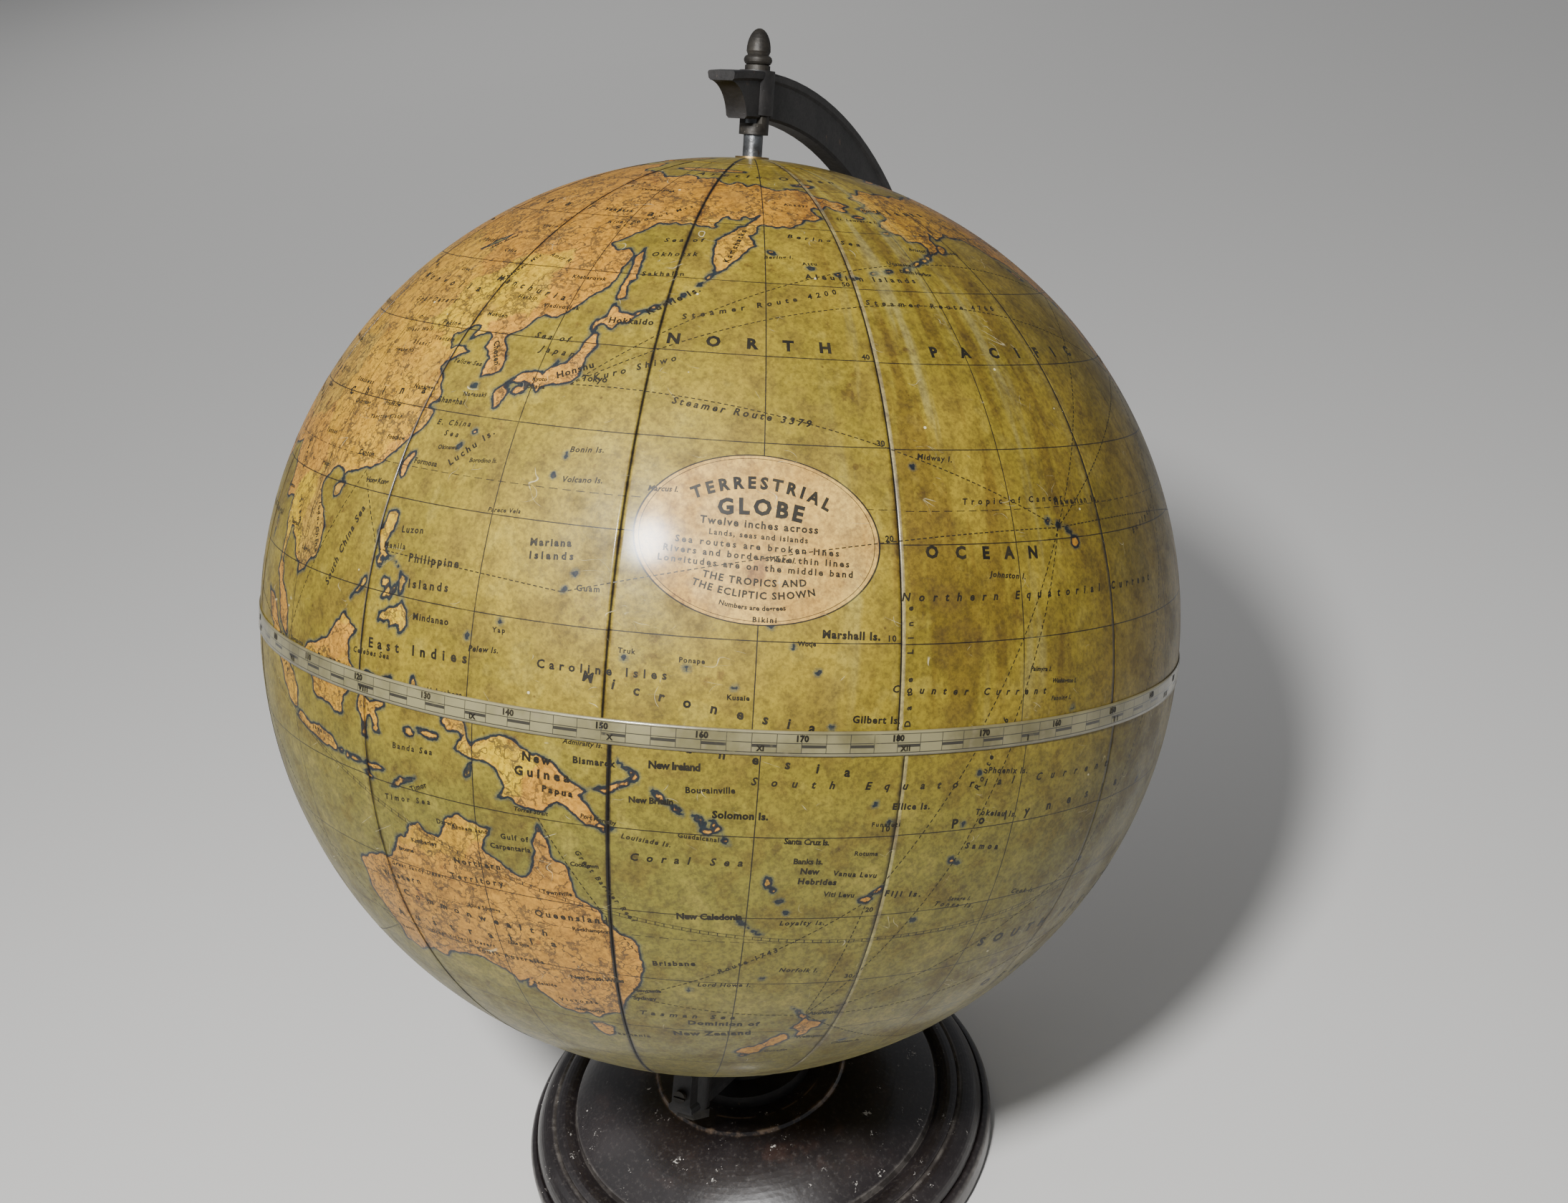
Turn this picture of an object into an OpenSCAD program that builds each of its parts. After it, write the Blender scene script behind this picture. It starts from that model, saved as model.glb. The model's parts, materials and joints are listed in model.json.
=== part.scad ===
// Desktop globe on a stand: a 12 inch terrestrial globe turns on a tilted steel axle, held at both
// ends by a cast semi-meridian arm that is bolted to a turned and weighted wooden plinth.
// The origin is the centre of the resting face, +Z is up, and the arm lies in the YZ plane.

/* [Globe] */
// Radius over the map paper
globe_r = 152.4; // [148:0.1:156]
// Lean of the polar axis from upright, in degrees
tilt = 23.5; // [22:0.1:25]
// Height of the globe's centre above the resting face
globe_z = 218; // [214:0.5:224]
// Set-back of the globe's centre behind the plinth's axis
globe_y = 32; // [28:0.5:36]
// Thickness of the plastered papier-mache shell
shell_t = 4; // [3:0.5:6]
// Thickness of the map paper and of the equator tape
paper_t = 0.3; // [0.2:0.05:0.4]
// Gores of map paper round each half of the globe
gore_count = 12; // [12:1:12]
// Turn of the map's zero meridian about the axis from the +X side, in degrees
map_turn = 136.5; // [0:0.5:359.5]
// Slip of the southern gores to the east, as they were pasted, in degrees
south_slip = 0.9; // [0:0.1:1.5]
// Latitude where the gores stop under the polar calottes
calotte_lat = 80; // [75:5:80]
// Width of the equator tape
tape_w = 7; // [5:0.5:9]

/* [Axle] */
// Diameter of the steel axle
axle_d = 6.35; // [6:0.05:6.4]
// Radial running clearance of the axle in its two pivots
axle_gap = 0.05; // [0.02:0.01:0.09]
// Diameter of the screwed pivots
pivot_d = 9.5; // [9:0.1:10]
// Distance from the globe's centre to the mouth of each pivot
pivot_reach = 160; // [158:0.5:162]

/* [Arm] */
// Inner radius of the arm's web
arm_in_r = 164.8; // [164:0.1:166]
// Outer radius of the arm's flange
arm_out_r = 179.7; // [179:0.1:182]
// Depth of the raised flange along the outer edge
flange_t = 2.4; // [2:0.1:3]
// Width of the flange across the arm
flange_w = 9.6; // [9:0.1:11]
// Width of the web across the arm
web_w = 7.4; // [6.5:0.1:8]
// Length of the nose past the upper pivot, along the flange
nose_l = 24; // [20:1:26]
// Length of the heel past the lower pivot, along the flange
heel_l = 10; // [8:1:12]

/* [Plinth] */
// Radius of the plinth's rim
plinth_r = 89.3; // [86:0.1:94]
// Height of the flat seat under the arm's foot
seat_z = 35.5; // [34:0.5:37]
// Radius of the flat seat
seat_r = 35; // [30:0.5:38]
// Thickness of the baize pad underneath
pad_t = 1.5; // [1:0.1:2]
// Radius of the iron ballast disc
ballast_r = 60; // [50:1:64]
// Thickness of the ballast disc
ballast_t = 8; // [6:0.5:9]

/* [Hidden] */
eps = 0.01;
step = 3;                             // degrees between the rings of every round skin
paper_in = globe_r - paper_t;
paste_t = 0.1;                        // paste between the paper and the plaster
shell_out = paper_in - paste_t;
shell_in = shell_out - shell_t;
post_r = 9;                           // wooden post along the axis inside the globe
block_r = 26;                         // wooden pole blocks glued inside the shell
block_z = 128;                        // where each block starts along the axis
ferrule_r = 5.5;
axle_r = axle_d / 2;
pivot_r = pivot_d / 2;
thread_r = 4;                         // screwed shank of each pivot
stud_r = 3.1;                         // stud under the acorn finial
pin_r = 1.2;                          // cross pins through the axle and the pole blocks
pin_z = block_z + 6;
boss_in = 166;                        // inner face of both pivot bosses
boss_out = 180;                       // outer face of both pivot bosses
boss_w = 12;                          // length of a boss along the arm
axle_end = 176;
washer_t = 1.2;
foot_r = 23.6;                        // round foot of the arm casting
foot_z = seat_z + 5.3;
bolt_r = 4;
bolt_top = 51;
recess_z = pad_t + ballast_t;
ballast_bore = 14;
screw_ring = 42;                      // ballast screws lie on this radius
screw_r = 2.5;
hoop_half = 9;                        // half height of the wooden hoop at the equator
gore_deg = 360 / gore_count;

GORE_NAMES = ["01", "02", "03", "04", "05", "06", "07", "08", "09", "10", "11", "12"];
GORES = [for (half = ["north", "south"]) for (n = GORE_NAMES) str("gore_", half, "_", n)];

paper_colour = "darkkhaki";
iron_colour = "dimgray";
wood_colour = "burlywood";
japan_colour = "darkslategray";

// Points of an arc about (cx, cy), from angle a0 to a1 in n steps
function arc(cx, cy, r, a0, a1, n) =
    [for (i = [0:n]) [cx + r * cos(a0 + (a1 - a0) * i / n), cy + r * sin(a0 + (a1 - a0) * i / n)]];

// Points of a meridian arc of radius r between two latitudes
function meridian(r, lat0, lat1) =
    let (n = max(1, round(abs(lat1 - lat0) / step))) arc(0, 0, r, lat0, lat1, n);

// Puts a piece drawn about the polar axis, with its origin at the globe's centre, in its place
module on_axis() {
    translate([0, globe_y, globe_z]) rotate([-tilt, 0, 0]) children();
}

// A skin of revolution between two radii and two latitudes
module skin(r_in, r_out, lat0, lat1, sweep = 360) {
    rotate_extrude(angle = sweep, $fn = 360 / step)
        polygon(concat(meridian(r_out, lat0, lat1), meridian(r_in, lat1, lat0)));
}

// A straight round bar along the axis between two heights
module bar(r, z0, z1) {
    translate([0, 0, z0]) cylinder(r = r, h = z1 - z0, $fn = 64);
}

// ---- plinth ----------------------------------------------------------------------------------

// Turned outline from the underside out to the rim and up over the mouldings to the seat
module plinth_outline() {
    rim_fillet = 3;
    rim_top = 8;
    ogee_r = 78.2;
    ogee_z = 19;
    dome_r = 69.2;
    dome_z = 21.4;
    dome_bulge_r = 62;
    dome_run = seat_r + 1.1 - dome_r;
    dome_rise = seat_z - 1.2 - dome_z;
    half_chord = sqrt(dome_run * dome_run + dome_rise * dome_rise) / 2;
    chord_dir = atan2(dome_rise, dome_run);
    to_centre = sqrt(dome_bulge_r * dome_bulge_r - half_chord * half_chord);
    dome_cx = (dome_r + seat_r + 1.1) / 2 + to_centre * cos(chord_dir + 90);
    dome_cz = (dome_z + seat_z - 1.2) / 2 + to_centre * sin(chord_dir + 90);
    sweep_half = asin(half_chord / dome_bulge_r);
    polygon(concat(
        [[0, pad_t], [plinth_r - 1.5, pad_t]],
        arc(plinth_r - 1.5, pad_t + 1.5, 1.5, -90, 0, 4),
        arc(plinth_r - rim_fillet, rim_top, rim_fillet, 0, 80, 8),
        [[plinth_r - rim_fillet - 0.6, rim_top + rim_fillet - 0.6]],
        arc(ogee_r - 0.6, 10.4, ogee_z - 10.4, 8, 84, 10),
        [[ogee_r - 0.9, ogee_z - 0.5]],
        arc(dome_r + 4.6, 14.4, 5.9, 52, 128, 6),
        [[dome_r + 0.5, dome_z - 2.4]],
        arc(dome_cx, dome_cz, dome_bulge_r,
            chord_dir - 90 - sweep_half, chord_dir - 90 + sweep_half, 16),
        [[seat_r + 0.4, seat_z], [0, seat_z]]));
}

module base_plinth() {
    color("#241c1a") difference() {
        rotate_extrude($fn = 180) plinth_outline();
        bar(ballast_r, -eps, recess_z);
        bar(bolt_r, 0, seat_z + 1);
        for (a = [90, 210, 330])
            rotate([0, 0, a]) translate([screw_ring, 0, 0]) bar(screw_r, 0, recess_z + 12);
    }
}

module ballast_disc() {
    color(iron_colour) difference() {
        bar(ballast_r, pad_t, recess_z);
        bar(ballast_bore, 0, recess_z + 1);
        for (a = [90, 210, 330]) rotate([0, 0, a]) translate([screw_ring, 0, 0]) {
            bar(screw_r, 0, recess_z + 1);
            translate([0, 0, pad_t - eps])
                cylinder(r1 = 2 * screw_r + eps, r2 = screw_r, h = screw_r, $fn = 64);
        }
    }
}

module ballast_screws() {
    color(iron_colour) for (a = [90, 210, 330]) rotate([0, 0, a]) translate([screw_ring, 0, pad_t])
        difference() {
            union() {
                cylinder(r1 = 2 * screw_r, r2 = screw_r, h = screw_r, $fn = 64);
                bar(screw_r, screw_r - eps, ballast_t + 12);
            }
            translate([-3 * screw_r, -0.5, -eps]) cube([6 * screw_r, 1, 1]);
        }
}

module baize_pad() {
    color("darkgreen") bar(plinth_r - 3.3, 0, pad_t);
}

module base_washer() {
    color(iron_colour) difference() {
        bar(11, recess_z - 1.5, recess_z);
        bar(bolt_r, recess_z - 2, recess_z + 1);
    }
}

// Cheese-head bolt up through the plinth into the arm's foot
module base_bolt() {
    head_z = 2.4;
    color(iron_colour) difference() {
        union() {
            bar(7, head_z, recess_z - 1.5);
            bar(bolt_r, recess_z - 2, bolt_top);
        }
        translate([-8, -0.8, head_z - eps]) cube([16, 1.6, 2]);
    }
}

// ---- arm and its two pivots ---------------------------------------------------------------------

// Cross-section of the casting: radius outwards, width across
module arm_section() {
    flange_in = arm_out_r - flange_t;
    soft = 0.8;
    polygon(concat(
        [[arm_in_r, soft - web_w / 2], [arm_in_r + soft, -web_w / 2], [flange_in - soft, -web_w / 2]],
        [[flange_in, -flange_w / 2 + 0.3]],
        arc(arm_out_r - soft, soft - flange_w / 2, soft, -90, 0, 3),
        arc(arm_out_r - soft, flange_w / 2 - soft, soft, 0, 90, 3),
        [[flange_in, flange_w / 2 - 0.3], [flange_in - soft, web_w / 2]],
        [[arm_in_r + soft, web_w / 2], [arm_in_r, web_w / 2 - soft]]));
}

// A pivot boss at the end of the arm; turn = 0 is the upper one and 180 the lower one
module boss(turn) {
    rotate([turn, 0, 0]) {
        translate([-web_w / 2, -boss_w / 2, boss_in]) cube([web_w, boss_w, boss_out - boss_in - flange_t]);
        bar(5.8, boss_in, boss_out);
    }
}

module meridian_arm() {
    nose_deg = nose_l / arm_out_r * 180 / PI;
    heel_deg = heel_l / arm_out_r * 180 / PI;
    cove_r = 12.5;
    color(japan_colour) difference() {
        union() {
            on_axis() rotate([0, 90, 0]) rotate([0, 0, -heel_deg])
                rotate_extrude(angle = 180 + heel_deg + nose_deg, $fn = 180) arm_section();
            on_axis() boss(0);
            on_axis() boss(180);
            bar(foot_r, seat_z, foot_z);
            translate([0, 0, foot_z]) cylinder(r1 = 15, r2 = 9.5, h = 6, $fn = 96);
            bar(9.5, foot_z, bolt_top + 1);
        }
        on_axis() {
            translate([0, -nose_l - 0.6, boss_in - 3.3]) rotate([0, 90, 0])
                cylinder(r = cove_r, h = 2 * flange_w, center = true, $fn = 96);
            for (turn = [0, 180]) rotate([turn, 0, 0]) {
                bar(thread_r, boss_in - 3, boss_out + 4);
                bar(pivot_r + 0.3, pivot_reach, boss_in);
            }
            translate([0, -4, -173]) rotate([90, 0, 0]) cylinder(r = 1.6, h = 12, $fn = 48);
        }
        bar(bolt_r, 0, bolt_top);
    }
}

// Screwed pivot with a blind running bore; it is drawn for the upper end
module pivot(thread_top) {
    difference() {
        union() {
            bar(pivot_r, pivot_reach, boss_in);
            bar(thread_r, boss_in - eps, thread_top);
        }
        bar(axle_r + axle_gap, pivot_reach - 1, axle_end + 0.6);
    }
}

module upper_pivot() {
    notch_z = boss_in - 2.6;
    color("gray") on_axis() {
        difference() {
            pivot(boss_out);
            translate([-6, -7, notch_z]) cube([12, 4.6, boss_in - notch_z]);
        }
        bar(stud_r, boss_out - eps, boss_out + 4.5);
    }
}

module lower_pivot() {
    color("gray") on_axis() rotate([180, 0, 0]) pivot(boss_out + 4);
}

module lower_lock_nut() {
    color("gray") on_axis() rotate([180, 0, 0]) difference() {
        translate([0, 0, boss_out]) cylinder(r = 6.6, h = 3.2, $fn = 6);
        bar(thread_r, boss_out - 1, boss_out + 5);
    }
}

// Small screw in the heel that locks the lower pivot
module heel_screw() {
    color("gray") on_axis() translate([0, -heel_l + 0.2, -173]) rotate([90, 0, 0]) difference() {
        union() {
            bar(1.6, heel_l - 14.2, 0);
            bar(2.3, 0, 1.6);
        }
        translate([-3, -0.35, 0.9]) cube([6, 0.7, 1]);
    }
}

module thrust_washer() {
    color("goldenrod") on_axis() rotate([180, 0, 0]) difference() {
        bar(pivot_r, pivot_reach - washer_t, pivot_reach);
        bar(axle_r + axle_gap, pivot_reach - 3, pivot_reach + 1);
    }
}

// Turned acorn nut on the upper pivot's stud
module acorn_finial() {
    cup_r = 4.6;
    nut_r = 3.9;
    z = boss_out;
    color("gray") on_axis() difference() {
        rotate_extrude($fn = 96) polygon(concat(
            [[0, z], [4.1, z], [4.1, z + 1.6]],
            arc(cup_r - 1.6, z + 3.3, 1.6, -70, 75, 6),
            [[nut_r - 0.2, z + 5.6]],
            [for (i = [0:8]) let (t = 90 * i / 8) [nut_r * cos(t), z + 6 + 7.2 * sin(t)]]));
        bar(stud_r, z - 1, z + 4.6);
    }
}

// ---- globe --------------------------------------------------------------------------------------

module axle_rod() {
    color("silver") on_axis() difference() {
        bar(axle_r, -axle_end, axle_end);
        for (z = [-pin_z, pin_z])
            translate([0, 0, z]) rotate([0, 90, 0])
                cylinder(r = pin_r, h = 3 * axle_r, center = true, $fn = 48);
    }
}

// Steel collar on the axle under the globe; it rides on the thrust washer
module thrust_collar() {
    color("silver") on_axis() rotate([180, 0, 0]) difference() {
        bar(pivot_r, globe_r + 1, pivot_reach - washer_t - 0.2);
        bar(axle_r, globe_r, pivot_reach);
    }
}

module axle_cross_pins() {
    color("silver") for (z = [-pin_z, pin_z]) on_axis() translate([8 - block_r, 0, z])
        rotate([0, 90, 0]) cylinder(r = pin_r, h = 2 * block_r - 16, $fn = 48);
}

module core_post() {
    color(wood_colour) on_axis() difference() {
        bar(post_r, -block_z, block_z);
        bar(axle_r, -globe_r, globe_r);
    }
}

// Wooden block inside a pole; turn = 0 for the north and 180 for the south
module pole_block(turn) {
    color(wood_colour) on_axis() rotate([turn, 0, 0]) difference() {
        rotate_extrude($fn = 360 / step) polygon(concat(
            [[0, block_z], [block_r, block_z]],
            [for (a = [81:step:90]) [(shell_in - paste_t) * cos(a), (shell_in - paste_t) * sin(a)]]));
        bar(axle_r, 0, globe_r);
        translate([0, 0, pin_z]) rotate([0, 90, 0])
            cylinder(r = pin_r, h = 2 * block_r - 16, center = true, $fn = 48);
    }
}

module pole_block_north() {
    pole_block(0);
}

module pole_block_south() {
    pole_block(180);
}

// Brass sleeve where the axle leaves the shell
module pole_ferrule(turn) {
    color("goldenrod") on_axis() rotate([turn, 0, 0]) difference() {
        bar(ferrule_r, shell_in, globe_r + 0.6);
        bar(axle_r, 0, globe_r + 2);
    }
}

module pole_ferrule_north() {
    pole_ferrule(0);
}

module pole_ferrule_south() {
    pole_ferrule(180);
}

// Wooden hoop that joins the two halves of the shell from inside
module equator_hoop() {
    color(wood_colour) on_axis() rotate_extrude($fn = 360 / step) polygon(concat(
        [[shell_in * cos(step) - 7, -hoop_half], [shell_in * cos(step) - 0.2, -hoop_half]],
        [[shell_in - 0.1, 0], [shell_in * cos(step) - 0.2, hoop_half]],
        [[shell_in * cos(step) - 7, hoop_half]]));
}

// Half of the plastered shell
module shell(turn) {
    color("wheat") on_axis() rotate([turn, 0, 0]) difference() {
        skin(shell_in, shell_out, 0, 90);
        bar(ferrule_r, 0, globe_r + 1);
    }
}

module shell_north() {
    shell(0);
}

module shell_south() {
    shell(180);
}

// Round paper that covers the points of the gores
module calotte(turn) {
    color(paper_colour) on_axis() rotate([turn, 0, 0]) difference() {
        skin(paper_in, globe_r, calotte_lat, 90);
        bar(ferrule_r, 0, globe_r + 1);
    }
}

module calotte_north() {
    calotte(0);
}

module calotte_south() {
    calotte(180);
}

// One half-gore of map paper, numbered eastwards
module gore(half, i) {
    turn = half == "north" ? 0 : 180;
    spin = half == "north" ? map_turn + i * gore_deg : -(map_turn + south_slip + (i + 1) * gore_deg);
    color(paper_colour) on_axis() rotate([turn, 0, 0]) rotate([0, 0, spin])
        skin(paper_in, globe_r, 0, calotte_lat, gore_deg);
}

module equator_tape() {
    half_lat = tape_w / 2 / globe_r * 180 / PI;
    color("khaki") on_axis() rotate_extrude($fn = 360 / step) polygon([
        [globe_r, 0], [globe_r * cos(half_lat), -tape_w / 2],
        [(globe_r + paper_t) * cos(half_lat), -tape_w / 2], [globe_r + paper_t, 0],
        [(globe_r + paper_t) * cos(half_lat), tape_w / 2], [globe_r * cos(half_lat), tape_w / 2]]);
}

// ---- choice of node --------------------------------------------------------------------------------

base_plinth();
ballast_disc();
ballast_screws();
baize_pad();
base_bolt();
base_washer();
meridian_arm();
upper_pivot();
acorn_finial();
lower_pivot();
lower_lock_nut();
heel_screw();
thrust_washer();
axle_rod();
thrust_collar();
axle_cross_pins();
core_post();
pole_block_north();
pole_block_south();
pole_ferrule_north();
pole_ferrule_south();
equator_hoop();
shell_north();
shell_south();
calotte_north();
calotte_south();
equator_tape();
for (i = [0:gore_count - 1]) {
    gore("north", i);
    gore("south", i);
}
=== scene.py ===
# %% [markdown]
# # A desktop globe on its stand
# The real object is a 12 inch terrestrial globe: a plastered paper ball, covered with printed
# paper gores, that turns on a tilted steel axle in a cast arm on a dark turned plinth. The
# packed design is loaded first, and every place below is worked out from it.

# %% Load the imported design
import json
import math
import random

import bmesh
import bpy
import numpy as np
from mathutils import Matrix, Vector, kdtree, noise


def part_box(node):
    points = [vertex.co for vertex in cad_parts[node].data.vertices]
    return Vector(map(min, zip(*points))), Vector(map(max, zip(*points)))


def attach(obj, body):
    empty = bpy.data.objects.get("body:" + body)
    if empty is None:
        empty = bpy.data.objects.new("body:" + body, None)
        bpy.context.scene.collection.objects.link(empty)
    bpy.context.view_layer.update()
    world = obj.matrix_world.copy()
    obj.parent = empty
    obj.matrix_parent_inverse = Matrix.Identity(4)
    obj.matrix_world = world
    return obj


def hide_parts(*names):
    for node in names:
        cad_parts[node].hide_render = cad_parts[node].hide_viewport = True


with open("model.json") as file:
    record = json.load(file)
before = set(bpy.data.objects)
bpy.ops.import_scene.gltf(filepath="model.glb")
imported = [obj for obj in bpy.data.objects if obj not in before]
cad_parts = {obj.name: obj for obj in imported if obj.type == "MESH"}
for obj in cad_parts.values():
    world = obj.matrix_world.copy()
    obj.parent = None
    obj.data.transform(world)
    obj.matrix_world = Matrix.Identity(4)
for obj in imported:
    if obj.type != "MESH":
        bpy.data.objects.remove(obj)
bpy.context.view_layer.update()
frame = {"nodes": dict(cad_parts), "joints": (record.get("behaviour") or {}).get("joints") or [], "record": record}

MM = 0.001

# %% [markdown]
# The globe turns about its polar axis, so it is easiest to think in the axis's own frame: z
# runs from pole to pole and the origin is the middle of the ball. The joint of the design
# gives both, and POLAR turns a place in that frame into a place in the room.

# %% The polar frame
spin = frame["joints"][0]
CENTRE = Vector(spin["pos_m"])
TILT = math.atan2(spin["axis"][1], spin["axis"][2])
POLAR = Matrix.Translation(CENTRE) @ Matrix.Rotation(-TILT, 4, "X")
tape_low, tape_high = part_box("equator_tape")
PAPER = 0.3 * MM                     # thickness of the map paper and of the tape
GLOBE_R = (tape_high[0] - tape_low[0]) / 2 - PAPER
MAP_TURN = 136.5                     # where the zero meridian stands at rest, degrees from +X
SOUTH_SLIP = 0.9                     # the southern gores were pasted this far to the east
SOUTH_DROP = 0.35                    # and this far to the south, in degrees
CALOTTE_LAT = 80.0                   # the round polar papers start here
DEGREE = GLOBE_R * math.pi / 180     # length of one degree of latitude on the paper
print("globe radius", round(GLOBE_R / MM, 2), "mm, tilt", round(math.degrees(TILT), 2))


def on_globe(lon, lat, radius):
    """Arrays of map places and radii to an array of points in the room."""
    turn, rise = np.radians(lon + MAP_TURN), np.radians(lat)
    local = np.stack([np.cos(rise) * np.cos(turn), np.cos(rise) * np.sin(turn), np.sin(rise)], -1)
    local = local * np.asarray(radius)[..., None]
    matrix = np.array(POLAR)
    return local @ matrix[:3, :3].T + matrix[:3, 3]


def nothing_selected():
    """Operators work on what is selected, so each piece starts with nothing selected."""
    if bpy.context.object and bpy.context.object.mode != "OBJECT":
        bpy.ops.object.mode_set(mode="OBJECT")
    bpy.ops.object.select_all(action="DESELECT")
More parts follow.
